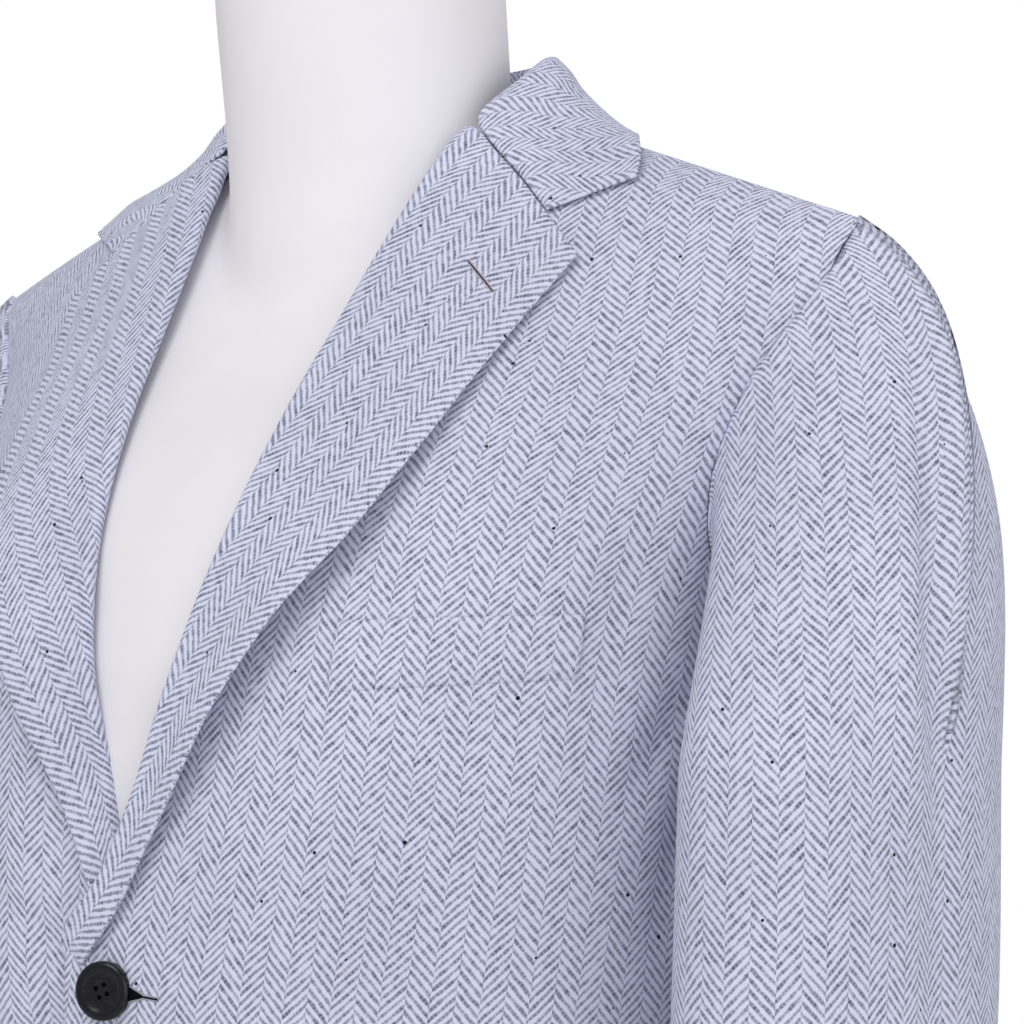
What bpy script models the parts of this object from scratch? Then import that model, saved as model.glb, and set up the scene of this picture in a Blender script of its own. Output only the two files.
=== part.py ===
"""A single-breasted tweed blazer worn by a limbless dress form.

Metres, +Z up. The wearer's front faces -Y and the wearer's left is +X. The origin is the middle of
the stand's flat underside. The cloth is cut in panels, each a thin wall on one body shape that is
lofted through rings. A place on that shape is an angle round the body, 0 at the front centre and
180 degrees at the back centre, and a level: 0 at the chest, 1 at the shoulder seam, negative below.
"""

import functools
import math
from collections import namedtuple

import bmesh
import bpy
import numpy as np
from mathutils import Matrix, Vector
from mathutils.kdtree import KDTree

NAME = "blazer_on_dress_form"

# --- cloth
CLOTH = 0.0020  # tweed with its interlining
WELT_CLOTH = 0.0011
SEAM_GAP = 0.0005  # between pieces that are sewn edge to edge
LAY_GAP = 0.0009  # between a piece and the panel that it lies on

# --- heights
HEM = 0.135
CHEST = 0.640
BREAK_POINT = 0.530  # where the lapel starts to turn back
BUTTON_HEIGHT = 0.519
LOWER_BUTTON_HEIGHT = 0.414
LEVEL_UNIT = 0.2  # one level below the chest, in metres
HEM_LEVEL = (HEM - CHEST) / LEVEL_UNIT

# --- shoulders and neckline
SHOULDER_TIP = (0.225, 0.018, 0.804)
SHOULDER_SLOPE = math.tan(math.radians(20.0))
NECK_HALF = 0.075
NECK_SEAM_Y = 0.012
NECKLINE_DEPTH = 0.056  # from the shoulder seam back to the middle of the back neckline

# --- front edge
LAP = 0.020  # how far each front passes the centre
UNDERLAP_DEPTH = 0.0080  # how far the right front is tucked behind the left
BUTTON_X = 0.001

# --- side seams, as angles round the body
Seam = namedtuple("Seam", "at_hem at_top")
FRONT_SIDE_SEAM = Seam(math.radians(66.0), math.radians(84.0))
BACK_SIDE_SEAM = Seam(math.radians(113.0), math.radians(103.0))
HALF_GAP_ANGLE = SEAM_GAP / 2 / 0.15

# --- dress form and stand
Ease = namedtuple("Ease", "level ease")
FORM_EASE = (
    Ease(-2.60, 0.0100),
    Ease(-0.30, 0.0100),
    Ease(0.10, 0.0065),
    Ease(0.60, 0.0050),
    Ease(0.90, 0.0045),
    Ease(1.00, 0.0040),
)
FORM_LEVELS = (-2.36, 0.970)
Neck = namedtuple("Neck", "height y radius")
NECK = (
    Neck(0.760, 0.012, 0.0725),
    Neck(0.775, 0.009, 0.0683),
    Neck(0.790, 0.007, 0.0640),
    Neck(0.805, 0.006, 0.0615),
    Neck(0.830, 0.005, 0.0600),
    Neck(0.860, 0.001, 0.0594),
    Neck(0.900, -0.004, 0.0600),
    Neck(0.962, -0.010, 0.0600),
    Neck(0.968, -0.0105, 0.0570),
)
BASE_RADIUS, BASE_THICKNESS = 0.165, 0.016
POLE_RADIUS, FLANGE_RADIUS = 0.015, 0.045

Ring = namedtuple("Ring", "height half_width front back power")
TORSO = (
    Ring(0.135, 0.205, 0.148, 0.134, 2.25),
    Ring(0.230, 0.203, 0.149, 0.137, 2.25),
    Ring(0.330, 0.196, 0.150, 0.128, 2.25),
    Ring(0.430, 0.187, 0.151, 0.113, 2.25),
    Ring(0.520, 0.184, 0.1525, 0.108, 2.25),
    Ring(0.590, 0.187, 0.149, 0.113, 2.25),
    Ring(0.640, 0.190, 0.1425, 0.120, 2.25),
)

# Above the chest each ring is a share of the way up to the shoulder seam. Its reach is the share of
# the chest's depth that is left, and its spread the share of the way out to the shoulder's width.
Yoke = namedtuple("Yoke", "rise front_reach back_reach spread")
YOKE = (
    Yoke(0.15, 0.940, 1.030, 0.03),
    Yoke(0.30, 0.845, 1.030, 0.10),
    Yoke(0.45, 0.710, 0.985, 0.22),
    Yoke(0.60, 0.550, 0.880, 0.38),
    Yoke(0.75, 0.395, 0.715, 0.58),
    Yoke(0.87, 0.270, 0.510, 0.77),
    Yoke(0.955, 0.150, 0.280, 0.92),
    Yoke(1.00, 0.000, 0.000, 1.00),
)

# The front edge from the rounded corner at the hem up to the break point, then the roll line.
Edge = namedtuple("Edge", "height x")
FRONT_EDGE = (
    Edge(0.135, 0.060),
    Edge(0.142, 0.032),
    Edge(0.158, 0.010),
    Edge(0.190, -0.006),
    Edge(0.240, -0.016),
    Edge(0.310, -LAP),
    Edge(BREAK_POINT, -LAP),
)
ROLL_LINE = (
    Edge(BREAK_POINT, -LAP),
    Edge(0.563, 0.000),
    Edge(0.635, 0.0215),
    Edge(0.700, 0.0365),
    Edge(0.760, 0.0475),
    Edge(0.815, 0.0575),
    Edge(0.848, 0.0655),
)

# The armhole seen from the side.
ARMHOLE_CENTRE = (0.018, 0.722)  # y, height
Armhole = namedtuple("Armhole", "height y")
ARMHOLE_FRONT = (
    Armhole(0.643, 0.018),
    Armhole(0.6465, 0.000),
    Armhole(0.655, -0.0155),
    Armhole(0.670, -0.0270),
    Armhole(0.690, -0.0325),
    Armhole(0.715, -0.0285),
    Armhole(0.740, -0.0175),
    Armhole(0.762, -0.0050),
    Armhole(0.785, 0.0080),
)
ARMHOLE_BACK = (
    Armhole(0.643, 0.018),
    Armhole(0.6465, 0.036),
    Armhole(0.655, 0.0510),
    Armhole(0.670, 0.0630),
    Armhole(0.690, 0.0700),
    Armhole(0.715, 0.0705),
    Armhole(0.740, 0.0645),
    Armhole(0.762, 0.0545),
    Armhole(0.785, 0.0390),
)

# The lapel's free edge, from the break point to its tip, and how far it stands off the chest.
LapelEdge = namedtuple("LapelEdge", "x height lift")
LAPEL_EDGE = (
    LapelEdge(-0.0130, 0.524, 0.0010),
    LapelEdge(0.0060, 0.545, 0.0020),
    LapelEdge(0.0210, 0.576, 0.0050),
    LapelEdge(0.0465, 0.622, 0.0085),
    LapelEdge(0.0680, 0.654, 0.0090),
    LapelEdge(0.0900, 0.686, 0.0075),
    LapelEdge(0.1050, 0.715, 0.0045),
    LapelEdge(0.1200, 0.763, 0.0015),
    LapelEdge(0.1315, 0.7905, 0.0010),
)
GORGE = (
    Edge(0.8480, 0.0655),
    Edge(0.8415, 0.0765),
    Edge(0.8235, 0.0980),
    Edge(0.8095, 0.1130),
)
GORGE_GAP = 0.0007
ROLL_RADIUS, ROLL_LEAD = 0.0032, 0.0009  # of the soft fold along the roll line

# The collar's leaf beside the gorge, from its tip, and then the fold and the leaf's free edge
# from the roll line's end round to the back centre.
LeafEdge = namedtuple("LeafEdge", "x y z")
COLLAR_POINT = (
    LeafEdge(0.1418, -0.0125, 0.8245),
    LeafEdge(0.1385, -0.0050, 0.8320),
    LeafEdge(0.1345, 0.0010, 0.8385),
)
Collar = namedtuple("Collar", "fold_x fold_y fold_z edge_x edge_y edge_z")
COLLAR = (
    Collar(0.0668, -0.0120, 0.8560, 0.1290, 0.0085, 0.8432),
    Collar(0.0725, 0.0030, 0.8690, 0.1240, 0.0165, 0.8450),
    Collar(0.0735, 0.0185, 0.8795, 0.1130, 0.0290, 0.8470),
    Collar(0.0645, 0.0360, 0.8840, 0.0985, 0.0465, 0.8475),
    Collar(0.0500, 0.0535, 0.8860, 0.0790, 0.0640, 0.8475),
    Collar(0.0270, 0.0660, 0.8875, 0.0450, 0.0800, 0.8470),
    Collar(0.0000, 0.0705, 0.8880, 0.0000, 0.0880, 0.8465),
)
STAND_FROM = 2  # the stand shows from this row of the collar on
STAND_NARROW = 0.94  # the neckline's half width over the fold's

# The sleeve below the armpit, each ring level.
SleeveRing = namedtuple("SleeveRing", "height x y half_width half_depth")
SLEEVE = (
    SleeveRing(0.600, 0.2410, -0.026, 0.0435, 0.0800),
    SleeveRing(0.520, 0.2430, -0.033, 0.0430, 0.0815),
    SleeveRing(0.430, 0.2440, -0.043, 0.0405, 0.0760),
    SleeveRing(0.330, 0.2430, -0.056, 0.0380, 0.0680),
    SleeveRing(0.250, 0.2405, -0.065, 0.0355, 0.0605),
    SleeveRing(0.190, 0.2380, -0.069, 0.0340, 0.0560),
)
SLEEVE_POWER = 2.15
TOP_SLEEVE_COLUMNS = (
    -108.0, -91.0, -75.0, -58.0, -42.0, -27.0, -14.0, -6.0, 1.0, 10.0, 20.0, 31.0, 43.0, 55.0,
    69.0, 85.0, 101.0, 119.0, 138.0,
)
UNDER_SLEEVE_COLUMNS = (138.0, 153.0, 169.0, 186.0, 203.0, 220.0, 236.0, 252.0)
SLEEVE_GAP = 0.0006  # between the armhole's edge and the sleeve
CAP_DROP = math.radians(32.0)  # how steeply the sleeve leaves the shoulder tip
Cap = namedtuple("Cap", "turn strength")  # how strongly it runs on outwards, in degrees round it
CAP = (
    Cap(-180.0, 0.035),
    Cap(-130.0, 0.050),
    Cap(-90.0, 0.100),
    Cap(-45.0, 0.280),
    Cap(0.0, 0.260),
    Cap(45.0, 0.180),
    Cap(90.0, 0.028),
    Cap(130.0, 0.030),
    Cap(180.0, 0.035),
)
CAP_ARRIVAL = 0.6

# The sleeve's long drag folds: angle round the sleeve from its outer side towards the front.
SleeveFold = namedtuple("SleeveFold", "angle top bottom depth width")
SLEEVE_FOLDS = (
    SleeveFold(math.radians(0.0), 0.790, 0.500, -0.0036, 0.0100),
    SleeveFold(math.radians(19.0), 0.770, 0.520, 0.0016, 0.0120),
    SleeveFold(math.radians(54.0), 0.755, 0.640, -0.0018, 0.0100),
    SleeveFold(math.radians(-75.0), 0.700, 0.400, -0.0028, 0.0120),
    SleeveFold(math.radians(100.0), 0.520, 0.330, -0.0022, 0.0130),
)

# --- pockets and buttons
WELT_FROM, WELT_TO = math.radians(27.5), math.radians(57.0)
WELT_TOP, WELT_RISE, WELT_DEEP = 0.6530, 0.0040, 0.024
FLAP_FROM, FLAP_TO = math.radians(40.0), math.radians(84.0)
FLAP_TOP, FLAP_DEEP = 0.372, 0.052
BUTTON_RADIUS = 0.0105
CUFF_BUTTON_RADIUS = 0.0075
BUTTON_TURN = math.radians(11.0)  # the fastened button leans towards the wearer's left
SHANK = 0.0026
CUFF_BUTTON_HEIGHTS = (0.208, 0.226, 0.244)
CUFF_BUTTON_ANGLE = math.radians(-104.0)


# ---------------------------------------------------------------- curves and the body's shape


def smooth(x, xs, ys):
    """A curve through the points of a table that never overshoots them."""
    xs, ys = np.asarray(xs, float), np.asarray(ys, float)
    step, rise = np.diff(xs), np.diff(ys) / np.diff(xs)
    slope = np.concatenate([rise[:1], np.zeros(len(xs) - 2), rise[-1:]])
    for i in range(1, len(xs) - 1):
        if rise[i - 1] * rise[i] > 0:
            before, after = 2 * step[i] + step[i - 1], step[i] + 2 * step[i - 1]
            slope[i] = (before + after) / (before / rise[i - 1] + after / rise[i])
    i = np.clip(np.searchsorted(xs, x, side="right") - 1, 0, len(xs) - 2)
    t = (np.asarray(x, float) - xs[i]) / step[i]
    return hermite(t, ys[i], ys[i + 1], slope[i] * step[i], slope[i + 1] * step[i])


def hermite(t, start, end, leaving, arriving):
    return (
        (1 + 2 * t) * (1 - t) ** 2 * start
        + t * (1 - t) ** 2 * leaving
        + t * t * (3 - 2 * t) * end
        + t * t * (t - 1) * arriving
    )


def through(t, points):
    """A smooth curve through 3-D points, t from 0 to 1 by their spacing."""
    points = np.asarray(points, float)
    along = np.concatenate([[0], np.cumsum(np.linalg.norm(np.diff(points, axis=0), axis=1))])
    along /= along[-1]
    slope = np.gradient(points, along, axis=0)
    i = np.clip(np.searchsorted(along, t, side="right") - 1, 0, len(points) - 2)
    step = (along[i + 1] - along[i])[..., None]
    local = ((np.asarray(t) - along[i]) / step[..., 0])[..., None]
    return hermite(local, points[i], points[i + 1], slope[i] * step, slope[i + 1] * step)


def ease(t):
    t = np.clip(t, 0.0, 1.0)
    return t * t * (3 - 2 * t)


def oval(theta, ring):
    side, ahead = np.sin(theta), np.cos(theta)
    depth = np.where(ahead > 0, ring.front, ring.back)
    size = (np.abs(side) ** ring.power + np.abs(ahead) ** ring.power) ** (-1 / ring.power)
    return ring.half_width * side * size, -depth * ahead * size


def shoulder_line(theta):
    """Where the column at this angle ends: on the shoulder seam, or on the back neckline."""
    side = np.sin(theta)
    x = SHOULDER_TIP[0] * side
    out = np.maximum(np.abs(x) - NECK_HALF, 0.0)
    y = NECK_SEAM_Y + (SHOULDER_TIP[1] - NECK_SEAM_Y) * out / (SHOULDER_TIP[0] - NECK_HALF)
    round_neck = np.sqrt(1 - np.clip(np.abs(x) / NECK_HALF, 0, 1) ** 2)
    y = y + np.where(np.cos(theta) < 0, NECKLINE_DEPTH, 0.0) * round_neck
    z = SHOULDER_TIP[2] + (SHOULDER_TIP[0] - NECK_HALF - out) * SHOULDER_SLOPE
    return x, y, z


def body_rings(theta):
    """The levels of the rings and, for each, the points at these angles."""
    levels, places = [], []
    for ring in TORSO:
        x, y = oval(theta, ring)
        levels.append((ring.height - CHEST) / LEVEL_UNIT)
        places.append(np.stack([x, y, ring.height + 0 * x], -1))
    chest_x, chest_y = oval(theta, TORSO[-1])
    end_x, end_y, end_z = shoulder_line(theta)
    behind = ease(0.5 - 0.5 * np.cos(theta) / 0.35)
    for ring in YOKE:
        reach = ring.front_reach * (1 - behind) + ring.back_reach * behind
        x = chest_x + (end_x - chest_x) * ring.spread
        y = end_y + (chest_y - end_y) * reach
        levels.append(ring.rise)
        places.append(np.stack([x, y, CHEST + (end_z - CHEST) * ring.rise], -1))
    return np.array(levels), np.array(places)


def body(theta, level):
    """Points of the body shape, which is the outer face of the cloth."""
    theta, level = np.broadcast_arrays(np.asarray(theta, float), np.asarray(level, float))
    levels, places = body_rings(theta)
    wide = (-1,) + (1,) * (places.ndim - 1)
    step = np.diff(levels)
    rise = np.diff(places, axis=0) / step.reshape(wide)
    slope = np.concatenate([rise[:1], np.zeros_like(rise[1:]), rise[-1:]])
    weighed = rise[:-1] * step[1:].reshape(wide) + rise[1:] * step[:-1].reshape(wide)
    slope[1:-1] = weighed / (step[1:] + step[:-1]).reshape(wide)
    slope[-1, ..., 2] *= 0.12  # the cloth lies nearly level as it crosses the shoulder seam
    i = np.clip(np.searchsorted(levels, level, side="right") - 1, 0, len(levels) - 2)
    here = (i, *np.indices(theta.shape))
    there = (i + 1, *np.indices(theta.shape))
    width = (levels[i + 1] - levels[i])[..., None]
    t = (level - levels[i])[..., None] / width
    return hermite(t, places[here], places[there], slope[here] * width, slope[there] * width)


def body_normal(theta, level):
    small = 1e-4
    level = np.minimum(np.asarray(level, float), 1 - small)
    across = body(theta + small, level) - body(theta - small, level)
    upward = body(theta, level + small) - body(theta, level - small)
    normal = np.cross(across, upward)
    return normal / np.linalg.norm(normal, axis=-1, keepdims=True)


def off_body(theta, level, lift):
    """A point of the body shape moved out along its normal."""
    return body(theta, level) + body_normal(theta, level) * np.asarray(lift, float)[..., None]


def solve(wanted, theta, level, axes):
    """The angle and level at which two of the body's coordinates have the wanted values."""
    theta, level = np.array(theta, float), np.array(level, float)
    small = 1e-5
    for _ in range(40):
        miss = (body(theta, level) - wanted)[..., axes]
        by_theta = (body(theta + small, level) - body(theta - small, level))[..., axes] / (2 * small)
        by_level = (body(theta, level + small) - body(theta, level - small))[..., axes] / (2 * small)
        det = by_theta[..., 0] * by_level[..., 1] - by_theta[..., 1] * by_level[..., 0]
        theta -= np.clip((miss[..., 0] * by_level[..., 1] - miss[..., 1] * by_level[..., 0]) / det, -0.1, 0.1)
        level -= np.clip((by_theta[..., 0] * miss[..., 1] - by_theta[..., 1] * miss[..., 0]) / det, -0.1, 0.1)
        level = np.minimum(level, 0.9995)
    return theta, level


def on_front(x, height):
    """The angle and level of a point of the front, seen straight from ahead."""
    x, height = np.broadcast_arrays(np.asarray(x, float), np.asarray(height, float))
    wanted = np.stack([x, 0 * x, height], -1)
    level = np.where(height < CHEST, (height - CHEST) / LEVEL_UNIT, (height - CHEST) / 0.21)
    return solve(wanted, np.arcsin(np.clip(x / 0.21, -0.9, 0.9)), level, [0, 2])


def on_side(y, height):
    """The angle and level of a point of the side, seen straight from the wearer's left."""
    y, height = np.broadcast_arrays(np.asarray(y, float), np.asarray(height, float))
    wanted = np.stack([0 * y, y, height], -1)
    return solve(wanted, math.pi / 2 + (y - 0.01) / 0.16, (height - CHEST) / 0.175, [1, 2])


def armhole_angle(level, rows):
    """The angle of the armhole's front or back edge at levels above its lowest point."""
    theta, at = on_side([row.y for row in rows], [row.height for row in rows])
    return smooth(level, [*at, 1.0], [*theta, math.pi / 2])


@functools.cache
def armhole_places():
    """The armhole's edge as angles and levels: down its front from the shoulder, then up its back."""
    lowest = on_side(ARMHOLE_FRONT[0].y, ARMHOLE_FRONT[0].height)[1]
    rising = lowest + (1 - lowest) * np.linspace(0, 1, 300) ** 2
    front, back = armhole_angle(rising, ARMHOLE_FRONT), armhole_angle(rising, ARMHOLE_BACK)
    return np.concatenate([front[::-1], back[1:]]), np.concatenate([rising[::-1], rising[1:]])


@functools.cache
def armhole_curve():
    """Points all round the armhole's edge, and the angle of each about the armhole's centre."""
    curve = body(*armhole_places())
    angle = np.unwrap(np.arctan2(-(curve[:, 1] - ARMHOLE_CENTRE[0]), curve[:, 2] - ARMHOLE_CENTRE[1]))
    return angle, curve


def armhole(turn):
    """The armhole's edge: turn is 0 at the shoulder tip, 90 degrees at the front, 180 underneath."""
    angle, curve = armhole_curve()
    turn = np.mod(turn, 2 * math.pi)
    return np.stack([np.interp(turn, angle, curve[:, k], period=2 * math.pi) for k in range(3)], -1)


# ---------------------------------------------------------------- meshes


def clear_scene():
    for thing in list(bpy.data.objects):
        bpy.data.objects.remove(thing, do_unlink=True)


def make_collection(name):
    collection = bpy.data.collections.new(name)
    bpy.context.scene.collection.children.link(collection)
    return collection


def make_material(name, colour, roughness, metallic=0.0):
    material = bpy.data.materials.new(name)
    material.use_nodes = True
    shader = material.node_tree.nodes["Principled BSDF"]
    shader.inputs["Base Color"].default_value = (*colour, 1.0)
    shader.inputs["Roughness"].default_value = roughness
    shader.inputs["Metallic"].default_value = metallic
    return material


def make_object(name, mesh, material):
    mesh.materials.append(material)
    mesh.shade_smooth()
    thing = bpy.data.objects.new(name, mesh)
    PARTS.objects.link(thing)
    return thing


def grid_mesh(name, places, closed_round=False):
    """A sheet of four-sided faces through rows of points that face the way their normals are wanted."""
    rows, columns = places.shape[:2]
    sheet = bmesh.new()
    points = [[sheet.verts.new(tuple(map(float, place))) for place in row] for row in places]
    last = columns if closed_round else columns - 1
    for i in range(rows - 1):
        for j in range(last):
            k = (j + 1) % columns
            sheet.faces.new((points[i][j], points[i][k], points[i + 1][k], points[i + 1][j]))
    mesh = bpy.data.meshes.new(name)
    sheet.to_mesh(mesh)
    sheet.free()
    return mesh


def cloth_wall(name, outer, inner, material, side):
    """A closed wall between two sheets of points, the cloth's outer and inner faces."""
    if side < 0:
        outer, inner = (sheet[:, ::-1] * np.array([-1.0, 1.0, 1.0]) for sheet in (outer, inner))
    rim = [(0, j) for j in range(outer.shape[1])] + [(i, -1) for i in range(1, outer.shape[0])]
    rim += [(-1, -1 - j) for j in range(1, outer.shape[1])] + [(-1 - i, 0) for i in range(1, outer.shape[0] - 1)]
    wall = bmesh.new()
    faces = [[[wall.verts.new(tuple(map(float, p))) for p in row] for row in sheet] for sheet in (outer, inner)]
    for face, turned_over in zip(faces, (False, True)):
        for low, high in zip(face, face[1:]):
            for quad in zip(low, low[1:], high[1:], high):
                wall.faces.new(quad[::-1] if turned_over else quad)
    for (i, j), (k, m) in zip(rim, rim[1:] + rim[:1]):
        wall.faces.new((faces[1][i][j], faces[1][k][m], faces[0][k][m], faces[0][i][j]))
    mesh = bpy.data.meshes.new(name)
    wall.to_mesh(mesh)
    wall.free()
    return make_object(name, mesh, material)


def turned_sheet(name, places, material, side, thickness=CLOTH):
    """A sheet whose points are the cloth's outer face, with a wall of this thickness inside it."""
    if side < 0:
        places = (places * np.array([-1.0, 1.0, 1.0]))[:, ::-1]
    wall = make_object(name, grid_mesh(name, places), material)
    solidify = wall.modifiers.new("wall", "SOLIDIFY")
    solidify.thickness = thickness
    solidify.offset = -1.0
    solidify.use_even_offset = True
    return wall


def panel(name, side, theta, level, lift, material, thickness=CLOTH, to_seam=False):
    """A wall on the body shape: its outer face is moved out by lift."""
    outer, inner = off_body(theta, level, lift), off_body(theta, level, lift - thickness)
    if to_seam:
        lean = np.where(outer[-1][:, 0] > NECK_HALF, SHOULDER_SLOPE, 0.0)
        square = np.stack([lean, 0 * lean, 1 + 0 * lean], -1) / np.hypot(lean, 1.0)[:, None]
        inner[-1] = outer[-1] - square * thickness
    return cloth_wall(name, outer, inner, material, side)


def loft(name, rings, material):
    """A closed solid through rings of points, with flat ends."""
    mesh = grid_mesh(name, rings, closed_round=True)
    solid = bmesh.new()
    solid.from_mesh(mesh)
    bmesh.ops.remove_doubles(solid, verts=solid.verts, dist=1e-5)
    bmesh.ops.holes_fill(solid, edges=[e for e in solid.edges if e.is_boundary])
    bmesh.ops.recalc_face_normals(solid, faces=solid.faces)
    if solid.calc_volume(signed=True) < 0:
        bmesh.ops.reverse_faces(solid, faces=solid.faces)
    solid.to_mesh(mesh)
    solid.free()
    return make_object(name, mesh, material)


def turned(name, profile, material, steps):
    """A profile of (radius, height) that runs down its outer side, turned round Z."""
    mesh = bpy.data.meshes.new(name)
    mesh.from_pydata([(r, 0.0, z) for r, z in profile], [(i, i + 1) for i in range(len(profile) - 1)], [])
    solid = make_object(name, mesh, material)
    screw = solid.modifiers.new("turn", "SCREW")
    screw.steps = screw.render_steps = steps
    screw.use_merge_vertices = True
    screw.merge_threshold = 1e-5
    return solid


# ---------------------------------------------------------------- panels


def named(piece, side):
    return f"{piece}_left" if side > 0 else f"{piece}_right"


def levels_of(*stops):
    """Levels through stops of (level, steps to the next)."""
    runs = [np.linspace(a[0], b[0], a[1], endpoint=False) for a, b in zip(stops, stops[1:])]
    return np.concatenate([*runs, [stops[-1][0]]])


def to_shoulder(theta, level):
    """Levels whose last row is moved down to half a seam gap short of the shoulder seam."""
    level = level + 0 * theta
    last = theta[-1]
    run = np.abs(body(last, 1.0)[..., 1] - body(last, 0.99)[..., 1]) / 0.01
    level[-1] = 1 - np.clip(SEAM_GAP * 0.7 / run, 0.0005, 0.015)
    return level


def front_edge_angle(level):
    """The angle of the front edge, and above the break point of the roll line, at each level."""
    edge = FRONT_EDGE[:-1] + ROLL_LINE
    theta, at = on_front([row.x for row in edge], [row.height for row in edge])
    return smooth(level, [*at, 1.0], [*theta, math.asin(NECK_HALF / SHOULDER_TIP[0])])


def seam_angle(level, seam):
    """A side seam's angle: it drifts from its place at the hem to its place at the armhole."""
    return seam.at_hem + (seam.at_top - seam.at_hem) * np.clip(1 - level / HEM_LEVEL, 0, 1)


def side_edge(level, seam, rows, keep):
    """A front's or a back's outer edge: the side seam, and above it the armhole."""
    lowest = on_side(rows[0].y, rows[0].height)[1]
    hole = armhole_angle(np.maximum(level, lowest), rows)
    return keep(seam_angle(level, seam), np.where(level > lowest, hole, math.pi / 2))


def tuck(side, x, level):
    """How far the right front lies behind the body shape, where the left front laps over it."""
    if side > 0:
        return 0 * x
    return UNDERLAP_DEPTH * (1 - ease((x - 0.022) / 0.040)) * (1 - ease((level + 0.30) / 0.36))


def build_front(side, cloth):
    level = levels_of((HEM_LEVEL, 4), (-2.30, 6), (-0.62, 8), (0.0, 4), (0.16, 11), (1.0, 0))[:, None]
    start = front_edge_angle(level)
    end = side_edge(level, FRONT_SIDE_SEAM, ARMHOLE_FRONT, np.minimum) - HALF_GAP_ANGLE
    theta = start + (end - start) * np.linspace(0, 1, 10)
    level = to_shoulder(theta, level)
    lift = -tuck(side, body(theta, level)[..., 0], level)
    panel(named("front", side), side, theta, level, lift, cloth, to_seam=True)


def build_back(side, cloth):
    level = levels_of((HEM_LEVEL, 11), (0.0, 3), (0.16, 10), (1.0, 0))[:, None]
    start = side_edge(level, BACK_SIDE_SEAM, ARMHOLE_BACK, np.maximum) + HALF_GAP_ANGLE
    theta = start + (math.pi - HALF_GAP_ANGLE - start) * np.linspace(0, 1, 10)
    panel(named("back", side), side, theta, to_shoulder(theta, level), 0 * theta, cloth, to_seam=True)


def build_side(side, cloth):
    across = np.linspace(0, 1, 6)
    top_theta = FRONT_SIDE_SEAM.at_top + (BACK_SIDE_SEAM.at_top - FRONT_SIDE_SEAM.at_top) * across
    hole_theta, hole_level = armhole_places()
    under = slice(hole_theta.argmin(), hole_theta.argmax() + 1)
    top_level = np.interp(top_theta, hole_theta[under], hole_level[under]) - SEAM_GAP / LEVEL_UNIT
    level = np.concatenate([levels_of((HEM_LEVEL, 11), (0.0, 0))[:, None] + 0 * across, top_level[None]])
    start = seam_angle(level[:, :1], FRONT_SIDE_SEAM) + HALF_GAP_ANGLE
    end = seam_angle(level[:, -1:], BACK_SIDE_SEAM) - HALF_GAP_ANGLE
    theta = start + (end - start) * across
    panel(named("side", side), side, theta, level, 0 * theta, cloth)


# ---------------------------------------------------------------- lapels and collar


def front_places(rows):
    """Rows with an x and a height, as (angle, level) pairs on the body shape."""
    return np.array(on_front([row.x for row in rows], [row.height for row in rows])).T


def polyline(t, points):
    """Straight runs between points, t from 0 to 1 by their count."""
    points = np.asarray(points, float)
    at = np.linspace(0, 1, len(points))
    return np.stack([np.interp(t, at, points[:, k]) for k in range(points.shape[1])], -1)


def patch(left, right, bottom, top):
    """A sheet between four edges: left and right run up the rows, bottom and top across them."""
    u, v = np.linspace(0, 1, len(bottom))[None, :, None], np.linspace(0, 1, len(left))[:, None, None]
    sides = left[:, None] * (1 - u) + right[:, None] * u
    ends = bottom[None] * (1 - v) + top[None] * v
    low = left[0] * (1 - u) + right[0] * u
    high = left[-1] * (1 - u) + right[-1] * u
    return sides + ends - low * (1 - v) - high * v


def build_lapel(side, cloth):
    """The front's edge turned back: a soft fold along the roll line, then the lapel on the chest."""
    down, across = np.linspace(0, 1, 22), np.linspace(0, 1, 6)
    roll, edge = front_places(ROLL_LINE), front_places(LAPEL_EDGE)
    roll_level = through(down, roll)[:, 1]
    roll_places = np.stack([front_edge_angle(roll_level), roll_level], -1)
    notch = front_places(tuple(Edge(row.height - GORGE_GAP, row.x) for row in GORGE) + (LAPEL_EDGE[-1],))
    theta, level = np.moveaxis(patch(
        roll_places, through(down, edge),
        polyline(across, [roll[0], edge[0]]), polyline(across, notch),
    ), -1, 0)
    stand_off = polyline(down, [[row.lift] for row in LAPEL_EDGE])
    lift = LAY_GAP + CLOTH + stand_off * across**1.5
    top_of_fold = 2 * ROLL_RADIUS - CLOTH
    lift = lift + (top_of_fold - LAY_GAP - CLOTH) * (1 - across) ** 3

    turn = np.radians([270.0, 270.0, 225.0, 180.0, 135.0])
    ahead = np.array([0.0, 1.0, 1.0, 1.0, 1.0]) * ROLL_LEAD
    per_radian = np.linalg.norm(body(theta[:, :1] + 1e-3, level[:, :1]) - body(theta[:, :1], level[:, :1]), axis=-1) / 1e-3
    fold_theta = theta[:, :1] + (ROLL_RADIUS * np.cos(turn) - 1.8 * SEAM_GAP - ahead) / per_radian
    fold_lift = ROLL_RADIUS - CLOTH + ROLL_RADIUS * np.sin(turn) + 0 * fold_theta
    theta = np.concatenate([fold_theta, theta], axis=1)
    level = np.concatenate([level[:, :1] + 0 * fold_theta, level], axis=1)
    lift = np.concatenate([fold_lift, lift], axis=1)
    lift = lift - tuck(side, body(theta, level)[..., 0], level)
    turned_sheet(named("lapel", side), off_body(theta, level, lift), cloth, side)


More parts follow.
